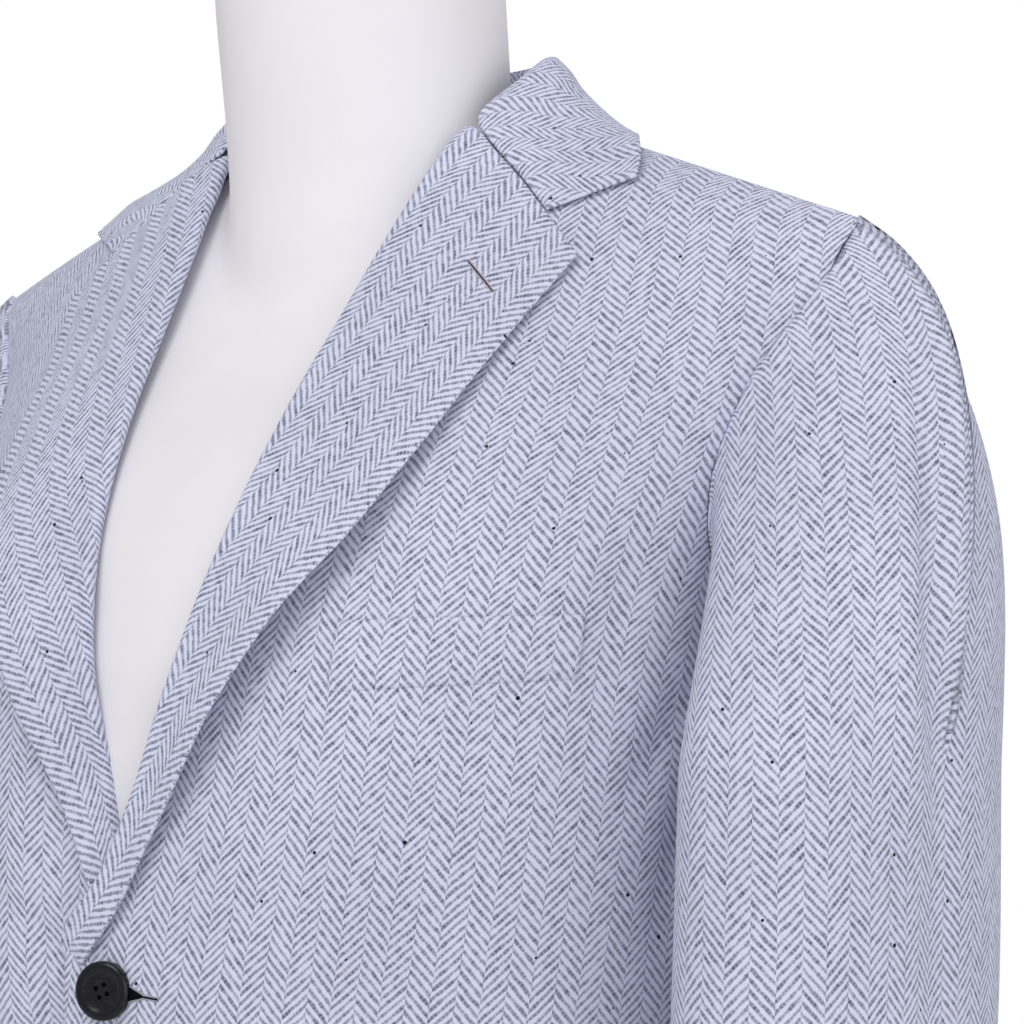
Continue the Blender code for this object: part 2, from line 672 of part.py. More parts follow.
def clear_of_body(places, lift):
    """Points moved out until they are this far off the body shape."""
    theta, level = np.meshgrid(np.linspace(-0.2, math.pi + 0.2, 150), np.linspace(-0.5, 1.0, 120))
    skin, facing = body(theta, level).reshape(-1, 3), body_normal(theta, level).reshape(-1, 3)
    tree = KDTree(len(skin))
    for index, place in enumerate(skin):
        tree.insert(place, index)
    tree.balance()
    moved = places.copy()
    for where in np.ndindex(places.shape[:-1]):
        _, index, _ = tree.find(places[where])
        short = lift - np.dot(places[where] - skin[index], facing[index])
        moved[where] = places[where] + facing[index] * max(short, 0.0)
    return moved


def collar_edges():
    """The leaf's inner and outer edges, from the notch to the back centre, as matching points."""
    gorge = front_places([Edge(row.height + GORGE_GAP, row.x) for row in GORGE[:0:-1]])
    inner_front = off_body(gorge[:, 0], gorge[:, 1], 0 * gorge[:, 0] + LAY_GAP + CLOTH)
    inner = np.concatenate([inner_front, [row[:3] for row in COLLAR]])
    outer = np.concatenate([[row[:3] for row in COLLAR_POINT], [row[3:] for row in COLLAR]])
    return inner, outer


def build_collar_leaf(cloth):
    """The fold at the neck, and the leaf that falls from it on to the shoulders and back."""
    inner, outer = collar_edges()
    stations = np.linspace(0, 1, 19)
    inner, outer = polyline_smooth(stations, inner), polyline_smooth(stations, outer)
    raised = ease((stations * (len(COLLAR) + 2) - 2.0) / 2.0)[:, None]
    across = np.array([0.0, 0.06, 0.15, 0.28, 0.45, 0.70, 1.0])
    rise = np.interp(across, [0.0, 0.06, 0.15, 0.28, 0.45, 1.0], [0.0, 0.0030, 0.0052, 0.0050, 0.0020, 0.0])
    half = inner[:, None] + (outer - inner)[:, None] * across[:, None]
    half[..., 2] += rise * raised
    half = clear_of_body(half, LAY_GAP + CLOTH)
    half[-1, :, 0] = 0.0
    other = half[-2::-1] * np.array([-1.0, 1.0, 1.0])
    turned_sheet("collar_leaf", np.concatenate([half, other]).transpose(1, 0, 2)[:, ::-1], cloth, 1)


def build_collar_stand(cloth):
    """The band between the neckline and the underside of the collar's fold."""
    fold = np.array([row[:3] for row in COLLAR[STAND_FROM:]])
    stations = np.linspace(0, 1, 14)
    top = polyline_smooth(stations, fold) - np.array([0.0, 0.0, CLOTH + SEAM_GAP + 0.0006])
    x = np.array([row[0] for row in COLLAR[STAND_FROM:]])
    base_x = np.minimum(x * STAND_NARROW, NECK_HALF)
    base_y = NECK_SEAM_Y + NECKLINE_DEPTH * np.sqrt(1 - (base_x / NECK_HALF) ** 2)
    base_z = SHOULDER_TIP[2] + (SHOULDER_TIP[0] - NECK_HALF) * SHOULDER_SLOPE + SEAM_GAP + 0 * base_x
    bottom = polyline_smooth(stations, np.stack([base_x, base_y, base_z], -1))
    half = top[:, None] + (bottom - top)[:, None] * np.linspace(0, 1, 4)[:, None]
    other = half[-2::-1] * np.array([-1.0, 1.0, 1.0])
    turned_sheet("collar_stand", np.concatenate([half, other]).transpose(1, 0, 2)[:, ::-1], cloth, 1)


def polyline_smooth(t, points):
    """A smooth curve through points, t from 0 to 1 by their count."""
    points = np.asarray(points, float)
    slope = np.gradient(points, axis=0)
    at = np.asarray(t) * (len(points) - 1)
    i = np.clip(at.astype(int), 0, len(points) - 2)
    return hermite((at - i)[:, None], points[i], points[i + 1], slope[i], slope[i + 1])


# ---------------------------------------------------------------- sleeves


def tube(turn, height):
    """The sleeve below the armpit: turn is 0 on its outer side and 90 degrees at its front."""
    rows = SLEEVE[::-1]
    x, y, half_width, half_depth = (
        smooth(height, [row.height for row in rows], [row[k] for row in rows]) for k in (1, 2, 3, 4)
    )
    out, ahead = np.cos(turn), np.sin(turn)
    size = (np.abs(out) ** SLEEVE_POWER + np.abs(ahead) ** SLEEVE_POWER) ** (-1 / SLEEVE_POWER)
    return np.stack([x + half_width * out * size, y - half_depth * ahead * size, height + 0 * turn], -1)


def sleeve_start(turn):
    """Where the sleeve leaves the armhole, and which way and how strongly it runs from there."""
    top = np.clip(np.cos(turn), 0, 1) ** 2
    drop = CAP_DROP * top
    sideways = -0.30 * np.sin(turn) * np.abs(np.sin(turn))
    leave = np.stack([np.cos(drop), sideways, -np.sin(drop)], -1)
    degrees = np.mod(np.degrees(turn) + 180.0, 360.0) - 180.0
    strength = smooth(degrees, [row.turn for row in CAP], [row.strength for row in CAP])
    return armhole(turn) + leave * (SLEEVE_GAP + 0.0009 * top)[..., None], leave * strength[..., None]


def sleeve_skin(turn, down):
    """The sleeve's outer face: down is 0 at the armhole, 1 at the armpit and 2 at the cuff."""
    armpit, cuff = SLEEVE[0].height, SLEEVE[-1].height
    below = tube(turn, armpit + (cuff - armpit) * np.maximum(down - 1, 0))
    start, leave = sleeve_start(turn)
    end = tube(turn, armpit + 0 * turn)
    hang = (tube(turn, armpit - 1e-3 + 0 * turn) - end) / 1e-3
    arrive = hang * (CAP_ARRIVAL * np.linalg.norm(end - start, axis=-1))[..., None]
    cap = hermite(np.clip(down, 0, 1)[..., None], start, end, leave, arrive)
    return np.where((down < 1)[..., None], cap, below)


def sleeve_normal(turn, down):
    small = 1e-3
    here = sleeve_skin(turn, down)
    normal = np.cross(sleeve_skin(turn + small, down) - here, sleeve_skin(turn, down + small) - here)
    return normal / np.linalg.norm(normal, axis=-1, keepdims=True)


def sleeve_places(turn, down, depth=0.0):
    """The sleeve's outer face with its long folds pressed in, or a face this deep under it."""
    places = sleeve_skin(turn, down)
    lift = 0 * turn - depth
    for fold in SLEEVE_FOLDS:
        away = np.angle(np.exp(1j * (turn - fold.angle)))
        row = SLEEVE[0]
        arc = away * np.hypot(row.half_width * np.sin(fold.angle), row.half_depth * np.cos(fold.angle))
        z = places[..., 2]
        length = ease((fold.top - z) / 0.05) * ease((z - fold.bottom) / 0.08)
        lift = lift + fold.depth * np.exp(-((arc / fold.width) ** 2)) * length
    return places + sleeve_normal(turn, down) * lift[..., None]


def build_sleeve(side, cloth):
    down = levels_of((0.0, 3), (0.15, 7), (1.0, 9), (2.0, 0))
    seam = SEAM_GAP / 2 / 0.045
    for piece, columns in (("sleeve_top", TOP_SLEEVE_COLUMNS), ("sleeve_under", UNDER_SLEEVE_COLUMNS)):
        turn = np.radians(columns)
        turn[0] += seam
        turn[-1] -= seam
        turn, rows = np.meshgrid(turn, down)
        cloth_wall(named(piece, side), sleeve_places(turn, rows), sleeve_places(turn, rows, CLOTH), cloth, side)


# ---------------------------------------------------------------- pockets and buttons


def build_lying(name, side, cloth, thickness, theta, height):
    """A flat piece that lies on the panels: its angle and height at each point."""
    level = np.where(height < CHEST, (height - CHEST) / LEVEL_UNIT, (height - CHEST) / 0.19)
    lift = LAY_GAP + thickness + 0 * theta
    panel(name, side, theta[::-1], level[::-1], lift, cloth, thickness)


def build_pockets(cloth):
    across, down = np.linspace(0, 1, 9), np.linspace(0, 1, 3)[:, None]
    theta = WELT_FROM + (WELT_TO - WELT_FROM) * across + 0 * down
    build_lying("breast_welt", 1, cloth, WELT_CLOTH, theta, WELT_TOP + WELT_RISE * across - WELT_DEEP * down)
    theta = FLAP_FROM + (FLAP_TO - FLAP_FROM) * across + 0 * down
    for side in (1, -1):
        build_lying(named("flap", side), side, cloth, CLOTH, theta, FLAP_TOP - FLAP_DEEP * down + 0 * across)


def button_mesh(name, radius, material, steps):
    """A four-hole button that faces +Z, with a raised rim, a dished middle and its thread shank."""
    thick = 0.36 * radius
    profile = (
        (0.0, thick * 0.62), (radius * 0.50, thick * 0.66), (radius * 0.66, thick * 0.95),
        (radius * 0.86, thick), (radius, thick * 0.62), (radius * 0.94, thick * 0.20),
        (radius * 0.80, 0.0), (radius * 0.24, 0.0), (radius * 0.22, -SHANK), (0.0, -SHANK),
    )
    button = turned(name, profile, material, steps)
    for number in range(4):
        angle = math.pi / 4 + number * math.pi / 2
        bpy.ops.mesh.primitive_cylinder_add(
            vertices=6, radius=radius * 0.10, depth=thick * 1.0,
            location=(radius * 0.24 * math.cos(angle), radius * 0.24 * math.sin(angle), thick * 0.75),
        )
        cutter = bpy.context.object
        cutter.name = f"cut_{name}_{number}"
        for collection in list(cutter.users_collection):
            collection.objects.unlink(cutter)
        CUTTERS.objects.link(cutter)
        cutter.hide_render = True
        cutter.display_type = "WIRE"
        cutter.parent = button
        cut = button.modifiers.new(f"hole_{number}", "BOOLEAN")
        cut.operation = "DIFFERENCE"
        cut.object = cutter
    return button


def seat(button, place, facing):
    """Puts a button with the end of its shank just off the cloth."""
    facing = Vector(facing).normalized()
    button.location = Vector(place) + facing * (SHANK + SEAM_GAP)
    button.rotation_mode = "QUATERNION"
    button.rotation_quaternion = facing.to_track_quat("Z", "Y")


def build_buttons(horn):
    for name, height, turn in (
        ("button_front", BUTTON_HEIGHT, BUTTON_TURN), ("button_lower", LOWER_BUTTON_HEIGHT, 0.0),
    ):
        theta, level = on_front(BUTTON_X, height)
        facing = Vector(body_normal(theta, level)) @ Matrix.Rotation(-turn, 3, "Z")
        seat(button_mesh(name, BUTTON_RADIUS, horn, 18), body(theta, level), facing)
    armpit, cuff = SLEEVE[0].height, SLEEVE[-1].height
    for side in (1, -1):
        for number, height in enumerate(CUFF_BUTTON_HEIGHTS, 1):
            turn, down = np.array(CUFF_BUTTON_ANGLE), np.array(1 + (armpit - height) / (armpit - cuff))
            place = sleeve_places(turn, down)
            flip = np.array([side, 1, 1])
            button = cuff_button(named(f"cuff_button_{number}", side), horn)
            seat(button, place * flip, sleeve_normal(turn, down) * flip)


def cuff_button(name, material):
    radius, thick = CUFF_BUTTON_RADIUS, 0.36 * CUFF_BUTTON_RADIUS
    profile = (
        (0.0, thick * 0.7), (radius * 0.6, thick * 0.72), (radius * 0.86, thick), (radius, thick * 0.5),
        (radius * 0.85, 0.0), (radius * 0.24, -SHANK), (0.0, -SHANK),
    )
    return turned(name, profile, material, 10)


# ---------------------------------------------------------------- dress form and its stand


def build_form(linen, metal):
    """A smooth torso just inside the cloth, its shoulders closed along their seam, and a neck."""
    theta = np.radians(np.arange(0.0, 360.0, 10.0))
    folded = np.where(theta > math.pi, 2 * math.pi - theta, theta)
    flip = np.stack([np.where(theta > math.pi, -1.0, 1.0), 1 + 0 * theta, 1 + 0 * theta], -1)
    levels = levels_of((FORM_LEVELS[0], 5), (-1.0, 6), (0.2, 9), (FORM_LEVELS[1], 0))
    inset = np.interp(levels, [row.level for row in FORM_EASE], [row.ease for row in FORM_EASE])
    rings = []
    for level, ease_here in zip(levels, inset):
        ring = off_body(folded, level, -(CLOTH + ease_here) + 0 * folded) * flip
        ring[:, 0] *= 1 - 0.035 * ease((level - 0.4) / 0.5)
        rings.append(ring)
    partner = [int(np.argmin(np.abs(np.angle(np.exp(1j * (math.pi - t - theta)))))) for t in theta]
    rings.append((rings[-1] + rings[-1][partner]) / 2)
    torso = loft("form_torso", np.array(rings), linen)

    around = np.radians(np.arange(0.0, 360.0, 15.0))
    neck_rings = [
        np.stack([row.radius * np.sin(around), row.y - row.radius * np.cos(around), row.height + 0 * around], -1)
        for row in NECK
    ]
    neck = loft("cut_neck", np.array(neck_rings), linen)
    PARTS.objects.unlink(neck)
    CUTTERS.objects.link(neck)
    neck.hide_render = True
    neck.display_type = "WIRE"
    join = torso.modifiers.new("neck", "BOOLEAN")
    join.operation = "UNION"
    join.object = neck

    foot = CHEST + FORM_LEVELS[0] * LEVEL_UNIT - 0.0003
    turned("form_stand", (
        (0.0, foot), (FLANGE_RADIUS, foot), (FLANGE_RADIUS, foot - 0.008), (POLE_RADIUS, foot - 0.012),
        (POLE_RADIUS, BASE_THICKNESS + 0.012), (POLE_RADIUS + 0.012, BASE_THICKNESS),
        (BASE_RADIUS - 0.006, BASE_THICKNESS - 0.003), (BASE_RADIUS, BASE_THICKNESS - 0.009),
        (BASE_RADIUS, 0.0), (0.0, 0.0),
    ), metal, 36)


# ---------------------------------------------------------------- the whole

clear_scene()
PARTS = make_collection(NAME)
CUTTERS = make_collection("cutters")
TWEED = make_material("tweed", (0.56, 0.57, 0.62), 0.92)
HORN = make_material("horn", (0.015, 0.014, 0.018), 0.32)
LINEN = make_material("form_cover", (0.86, 0.84, 0.80), 0.75)
METAL = make_material("stand_metal", (0.30, 0.30, 0.31), 0.40, 1.0)

for wearer_side in (1, -1):
    build_front(wearer_side, TWEED)
    build_back(wearer_side, TWEED)
    build_side(wearer_side, TWEED)
    build_lapel(wearer_side, TWEED)
    build_sleeve(wearer_side, TWEED)
build_collar_leaf(TWEED)
build_collar_stand(TWEED)
build_pockets(TWEED)
build_buttons(HORN)
build_form(LINEN, METAL)
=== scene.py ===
"""The looks of a single-breasted herringbone blazer worn by a limbless dress form.

Metres, +Z up, in the frame's own axes: the wearer's front faces -Y, the wearer's left is +X and the
stand's underside lies at height 0. Each cut piece of cloth is a thin wall of its own. Its points come
from the same rings as the frame's solids, with creases, seams and rolled edges laid over them, and
each piece carries a map named "grain" in metres, along which the weave runs.
"""

import functools
import logging
import math
from collections.abc import Callable, Iterable, Sequence
from dataclasses import dataclass, field
from enum import Enum

import bpy
import numpy as np
from mathutils import Matrix, Vector
from mathutils.kdtree import KDTree


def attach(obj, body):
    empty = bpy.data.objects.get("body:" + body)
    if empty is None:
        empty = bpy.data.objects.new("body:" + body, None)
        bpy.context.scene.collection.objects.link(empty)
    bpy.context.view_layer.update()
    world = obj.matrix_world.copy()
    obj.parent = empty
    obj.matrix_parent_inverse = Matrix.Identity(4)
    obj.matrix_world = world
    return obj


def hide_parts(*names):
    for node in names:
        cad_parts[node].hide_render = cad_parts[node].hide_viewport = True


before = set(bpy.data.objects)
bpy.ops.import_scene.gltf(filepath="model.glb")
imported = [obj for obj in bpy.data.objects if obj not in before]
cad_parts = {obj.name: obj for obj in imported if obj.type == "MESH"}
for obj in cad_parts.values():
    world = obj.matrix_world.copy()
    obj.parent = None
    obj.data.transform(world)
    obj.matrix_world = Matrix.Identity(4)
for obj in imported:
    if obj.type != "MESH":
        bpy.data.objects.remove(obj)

Grid = np.ndarray
Colour = tuple[float, float, float]
Piece = bpy.types.Object
Finish = bpy.types.Material
Socket = bpy.types.NodeSocket

log = logging.getLogger("blazer")

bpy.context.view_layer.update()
BODY = "root"
GRAIN = "grain"
MIRROR = np.array([-1.0, 1.0, 1.0])
FULL_TURN = 2 * math.pi
EDGE_SWELL = 0.20
SEWN_EDGE = 0.10


class Side(Enum):
    """The wearer's side that a piece is on; its value is the sign of X there."""

    LEFT = 1
    RIGHT = -1

    def node(self, piece: str) -> str:
        """Names the frame's node of this piece on this side."""
        return f"{piece}_{self.name.lower()}"


class Held(Enum):
    DRAPED = "draped"
    LAID = "laid"
    FOLDED = "folded"


# -------- curves


def hermite(t: Grid, start: Grid, end: Grid, leaving: Grid, arriving: Grid) -> Grid:
    """Runs from start to end with given speeds at both ends.

    Args:
        t: How far along, from 0 to 1.
        start, end: The two ends.
        leaving, arriving: The speeds there.

    Returns:
        The places at t.
    """
    return (
        (1 + 2 * t) * (1 - t) ** 2 * start
        + t * (1 - t) ** 2 * leaving
        + t * t * (3 - 2 * t) * end
        + t * t * (t - 1) * arriving
    )


def smooth(x: Grid, xs: Sequence[float], ys: Sequence[float]) -> Grid:
    """Follows the points of a table with a curve that never overshoots them.

    Args:
        x: Where the curve is wanted.
        xs, ys: The table, with xs rising.

    Returns:
        The curve's heights at x.
    """
    xs, ys = np.asarray(xs, float), np.asarray(ys, float)
    step, rise = np.diff(xs), np.diff(ys) / np.diff(xs)
    slope = np.concatenate([rise[:1], np.zeros(len(xs) - 2), rise[-1:]])
    for i in range(1, len(xs) - 1):
        if rise[i - 1] * rise[i] > 0:
            before, after = 2 * step[i] + step[i - 1], step[i] + 2 * step[i - 1]
            slope[i] = (before + after) / (before / rise[i - 1] + after / rise[i])
    i = np.clip(np.searchsorted(xs, x, side="right") - 1, 0, len(xs) - 2)
    t = (np.asarray(x, float) - xs[i]) / step[i]
    return hermite(t, ys[i], ys[i + 1], slope[i] * step[i], slope[i + 1] * step[i])


def through(t: Grid, points: Sequence[Sequence[float]], by_count: bool = False) -> Grid:
    """Runs a smooth curve through points.

    Args:
        t: How far along, from 0 to 1.
        points: The points, in any number of dimensions.
        by_count: Whether t counts the points, or else the length between them.

    Returns:
        The places at t.
    """
    points = np.asarray(points, float)
    along = np.linspace(0, 1, len(points))
    if not by_count:
        along = np.concatenate([[0], np.cumsum(length_of(np.diff(points, axis=0)))])
        along /= along[-1]
    slope = np.gradient(points, along, axis=0)
    i = np.clip(np.searchsorted(along, t, side="right") - 1, 0, len(points) - 2)
    step = (along[i + 1] - along[i])[..., None]
    local = ((np.asarray(t) - along[i]) / step[..., 0])[..., None]
    return hermite(local, points[i], points[i + 1], slope[i] * step, slope[i + 1] * step)


def ease(t: Grid) -> Grid:
    """Rises softly from 0 at t = 0 to 1 at t = 1 and stays there."""
    t = np.clip(t, 0.0, 1.0)
    return t * t * (3 - 2 * t)


def bell(distance: Grid, width: float) -> Grid:
    """Falls softly from 1 at no distance to about a third at the width."""
    return np.exp(-((distance / width) ** 2))


def length_of(ways: Grid) -> Grid:
    """Gives the length of each direction."""
    return np.linalg.norm(ways, axis=-1)


def unit(ways: Grid) -> Grid:
    """Gives each direction the length 1."""
    return ways / np.linalg.norm(ways, axis=-1, keepdims=True)


def spread(count: int, edge: float = 0.006) -> Grid:
    """Spaces stations from 0 to 1, with a close pair at either end for a crisp edge.

    Args:
        count: How many stations lie between the two close pairs.
        edge: How far the pairs' inner stations lie from the ends.

    Returns:
        The stations.
    """
    return np.concatenate([[0.0, edge], np.linspace(2.5 * edge, 1 - 2.5 * edge, count), [1 - edge, 1.0]])


def normals(places: Grid) -> Grid:
    """Gives a grid of points its outward directions.

    Args:
        places: Rows of points; across the row times up the rows faces out.

    Returns:
        A unit direction for each point.
    """
    facing = np.cross(np.gradient(places, axis=1), np.gradient(places, axis=0))
    return facing / np.maximum(np.linalg.norm(facing, axis=-1, keepdims=True), 1e-12)


# -------- the body's shape


@dataclass(frozen=True)
class Ring:
    """A level section of the blazer's body below the chest."""

    height: float
    half_width: float
    front: float
    back: float
    power: float = 2.25


@dataclass(frozen=True)
class Yoke:
    """A section between the chest and the shoulder seam.

    The reaches are the shares of the chest's depth that are left there, and the spread is the share
    of the way out to the shoulder's width.
    """

    rise: float
    front_reach: float
    back_reach: float
    spread: float


@dataclass(frozen=True)
class Edge:
    """A point of an edge of the front, seen straight from ahead."""

    height: float
    x: float


@dataclass(frozen=True)
class Hole:
    """A point of the armhole, seen from the side."""

    height: float
    y: float


@dataclass(frozen=True)
class BodyShape:
    """The shape that the blazer's panels share: an angle round the body and a level give a point.

    The angle is 0 at the front centre and pi at the back centre. The level is 0 at the chest, 1 at
    the shoulder seam, and negative below. The side turn is the cosine of the angle over which the
    front's slope passes into the back's, and the steepness is the share of the yoke's climb that is
    left where it meets the shoulder seam.
    """

    hem: float = 0.135
    chest: float = 0.640
    level_unit: float = 0.2
    shoulder_tip: tuple[float, float, float] = (0.225, 0.018, 0.804)
    shoulder_slope: float = math.tan(math.radians(20.0))
    neck_half: float = 0.075
    neck_seam_y: float = 0.012
    neckline_depth: float = 0.056
    side_turn: float = 0.35
    seam_steepness: float = 0.12
    grain_steps: int = 16
    torso: tuple[Ring, ...] = (
        Ring(0.135, 0.205, 0.148, 0.134),
        Ring(0.230, 0.203, 0.149, 0.137),
        Ring(0.330, 0.196, 0.150, 0.128),
        Ring(0.430, 0.187, 0.151, 0.113),
        Ring(0.520, 0.184, 0.1525, 0.108),
        Ring(0.590, 0.187, 0.149, 0.113),
        Ring(0.640, 0.190, 0.1425, 0.120),
    )
    yoke: tuple[Yoke, ...] = (
        Yoke(0.15, 0.940, 1.030, 0.03),
        Yoke(0.30, 0.845, 1.030, 0.10),
        Yoke(0.45, 0.710, 0.985, 0.22),
        Yoke(0.60, 0.550, 0.880, 0.38),
        Yoke(0.75, 0.395, 0.715, 0.58),
        Yoke(0.87, 0.270, 0.510, 0.77),
        Yoke(0.955, 0.150, 0.280, 0.92),
        Yoke(1.00, 0.000, 0.000, 1.00),
    )

    @property
    def hem_level(self) -> float:
        """The level of the hem."""
        return (self.hem - self.chest) / self.level_unit

    def shoulder_line(self, theta: Grid) -> tuple[Grid, Grid, Grid]:
        """Ends each column on the shoulder seam, or on the back neckline.

        Args:
            theta: The columns' angles.

        Returns:
            The coordinates of the columns' ends.
        """
        x = self.shoulder_tip[0] * np.sin(theta)
        out = np.maximum(np.abs(x) - self.neck_half, 0.0)
        seam = self.shoulder_tip[0] - self.neck_half
        y = self.neck_seam_y + (self.shoulder_tip[1] - self.neck_seam_y) * out / seam
        round_neck = np.sqrt(1 - np.clip(np.abs(x) / self.neck_half, 0, 1) ** 2)
        y = y + np.where(np.cos(theta) < 0, self.neckline_depth, 0.0) * round_neck
        return x, y, self.shoulder_tip[2] + (seam - out) * self.shoulder_slope

    def rings(self, theta: Grid) -> tuple[Grid, Grid]:
        """Places the rings' points at some angles.

        Args:
            theta: The angles.

        Returns:
            The rings' levels, and for each its points.
        """
        side, ahead = np.sin(theta), np.cos(theta)
        levels, places = [], []
        for ring in self.torso:
            depth = np.where(ahead > 0, ring.front, ring.back)
            size = (np.abs(side) ** ring.power + np.abs(ahead) ** ring.power) ** (-1 / ring.power)
            x, y = ring.half_width * side * size, -depth * ahead * size
            levels.append((ring.height - self.chest) / self.level_unit)
            places.append(np.stack([x, y, ring.height + 0 * x], -1))
        end_x, end_y, end_z = self.shoulder_line(theta)
        behind = ease(0.5 - 0.5 * ahead / self.side_turn)
        for row in self.yoke:
            reach = row.front_reach * (1 - behind) + row.back_reach * behind
            levels.append(row.rise)
            places.append(
                np.stack([
                    x + (end_x - x) * row.spread,
                    end_y + (y - end_y) * reach,
                    self.chest + (end_z - self.chest) * row.rise,
                ], -1)
            )
        return np.array(levels), np.array(places)

    def at(self, theta: Grid, level: Grid) -> Grid:
        """Finds points of the shape, which is the cloth's outer face.

        Args:
            theta: Angles round the body.
            level: Levels up it.

        Returns:
            The points.
        """
        theta, level = np.broadcast_arrays(np.asarray(theta, float), np.asarray(level, float))
        levels, places = self.rings(theta)
        wide = (-1,) + (1,) * (places.ndim - 1)
        step = np.diff(levels)
        rise = np.diff(places, axis=0) / step.reshape(wide)
        slope = np.concatenate([rise[:1], np.zeros_like(rise[1:]), rise[-1:]])
        weighed = rise[:-1] * step[1:].reshape(wide) + rise[1:] * step[:-1].reshape(wide)
        slope[1:-1] = weighed / (step[1:] + step[:-1]).reshape(wide)
        slope[-1, ..., 2] *= self.seam_steepness
        i = np.clip(np.searchsorted(levels, level, side="right") - 1, 0, len(levels) - 2)
        here = (i, *np.indices(theta.shape))
        there = (i + 1, *np.indices(theta.shape))
        width = (levels[i + 1] - levels[i])[..., None]
        t = (level - levels[i])[..., None] / width
        return hermite(t, places[here], places[there], slope[here] * width, slope[there] * width)

    def normal(self, theta: Grid, level: Grid) -> Grid:
        """Gives the shape's outward direction at some angles and levels."""
        small = 1e-4
        level = np.minimum(np.asarray(level, float), 1 - small)
        across = self.at(theta + small, level) - self.at(theta - small, level)
        upward = self.at(theta, level + small) - self.at(theta, level - small)
        return unit(np.cross(across, upward))

    def off(self, theta: Grid, level: Grid, lift: Grid) -> Grid:
        """Finds points that are moved out of the shape along its normal."""
        return self.at(theta, level) + self.normal(theta, level) * np.asarray(lift, float)[..., None]

    def solve(self, wanted: Grid, theta: Grid, level: Grid, axes: Sequence[int]) -> tuple[Grid, Grid]:
        """Finds the angle and level at which two coordinates have the wanted values.

        Args:
            wanted: Points, of which two coordinates count.
            theta, level: A first guess.
            axes: Which two coordinates count.

        Returns:
            The angles and the levels.
        """
        theta, level = np.array(theta, float), np.array(level, float)
        small, rounds, most, below_seam = 1e-5, 40, 0.1, 0.9995
        for _ in range(rounds):
            miss = (self.at(theta, level) - wanted)[..., axes]
            by_theta = self.at(theta + small, level) - self.at(theta - small, level)
            by_level = self.at(theta, level + small) - self.at(theta, level - small)
            by_theta, by_level = by_theta[..., axes] / (2 * small), by_level[..., axes] / (2 * small)
            det = by_theta[..., 0] * by_level[..., 1] - by_theta[..., 1] * by_level[..., 0]
            turn = (miss[..., 0] * by_level[..., 1] - miss[..., 1] * by_level[..., 0]) / det
            climb = (by_theta[..., 0] * miss[..., 1] - by_theta[..., 1] * miss[..., 0]) / det
            theta -= np.clip(turn, -most, most)
            level = np.minimum(level - np.clip(climb, -most, most), below_seam)
        return theta, level

    def on_front(self, x: Grid, height: Grid) -> tuple[Grid, Grid]:
        """Finds points of the front as they are seen straight from ahead.

        Args:
            x, height: Where they are seen.

        Returns:
            Their angles and levels.
        """
        x, height = np.broadcast_arrays(np.asarray(x, float), np.asarray(height, float))
        # rough sizes, for the first guess alone
        half_width = climb = 0.21
        theta = np.arcsin(np.clip(x / half_width, -0.9, 0.9))
        level = (height - self.chest) / np.where(height < self.chest, self.level_unit, climb)
        return self.solve(np.stack([x, 0 * x, height], -1), theta, level, [0, 2])

    def on_side(self, y: Grid, height: Grid) -> tuple[Grid, Grid]:
        """Finds points of the side as they are seen from the wearer's left."""
        y, height = np.broadcast_arrays(np.asarray(y, float), np.asarray(height, float))
        wanted = np.stack([0 * y, y, height], -1)
        # rough sizes, for the first guess alone
        middle, half_depth, climb = 0.01, 0.16, 0.175
        theta = math.pi / 2 + (y - middle) / half_depth
        return self.solve(wanted, theta, (height - self.chest) / climb, [1, 2])

    def grain(
        self, theta: Grid, level: Grid, origin: float = 0.0, lean: float = 0.0, fade: float = 0.0
    ) -> Grid:
        """Maps the weave on to the shape: lengths round it from an angle, and up it from the hem.

        Args:
            theta, level: Where the map is wanted.
            origin: The angle from which the lengths round the body count.
            lean: How far the stripes lean towards the side at their top, as a slope.
            fade: How much of that slope is lost for each level above the waist.

        Returns:
            Two lengths in metres for each point.
        """
        theta, level = np.broadcast_arrays(np.asarray(theta, float), np.asarray(level, float))
        around, upward = np.zeros(theta.shape), np.zeros(theta.shape)
        hem, waist = self.hem_level, -0.5
        for k in range(self.grain_steps):
            here, there = k / self.grain_steps, (k + 1) / self.grain_steps
            a = self.at(origin + (theta - origin) * here, level)
            b = self.at(origin + (theta - origin) * there, level)
            around += length_of(b - a) * np.sign(theta - origin)
            a = self.at(theta, hem + (level - hem) * here)
            b = self.at(theta, hem + (level - hem) * there)
            upward += length_of(b - a)
        above = np.maximum(level - waist, 0.0)
        sideways = self.level_unit * (lean * level - fade * above**2 / 2)
        return np.stack([around - sideways, upward], -1)


# -------- creases


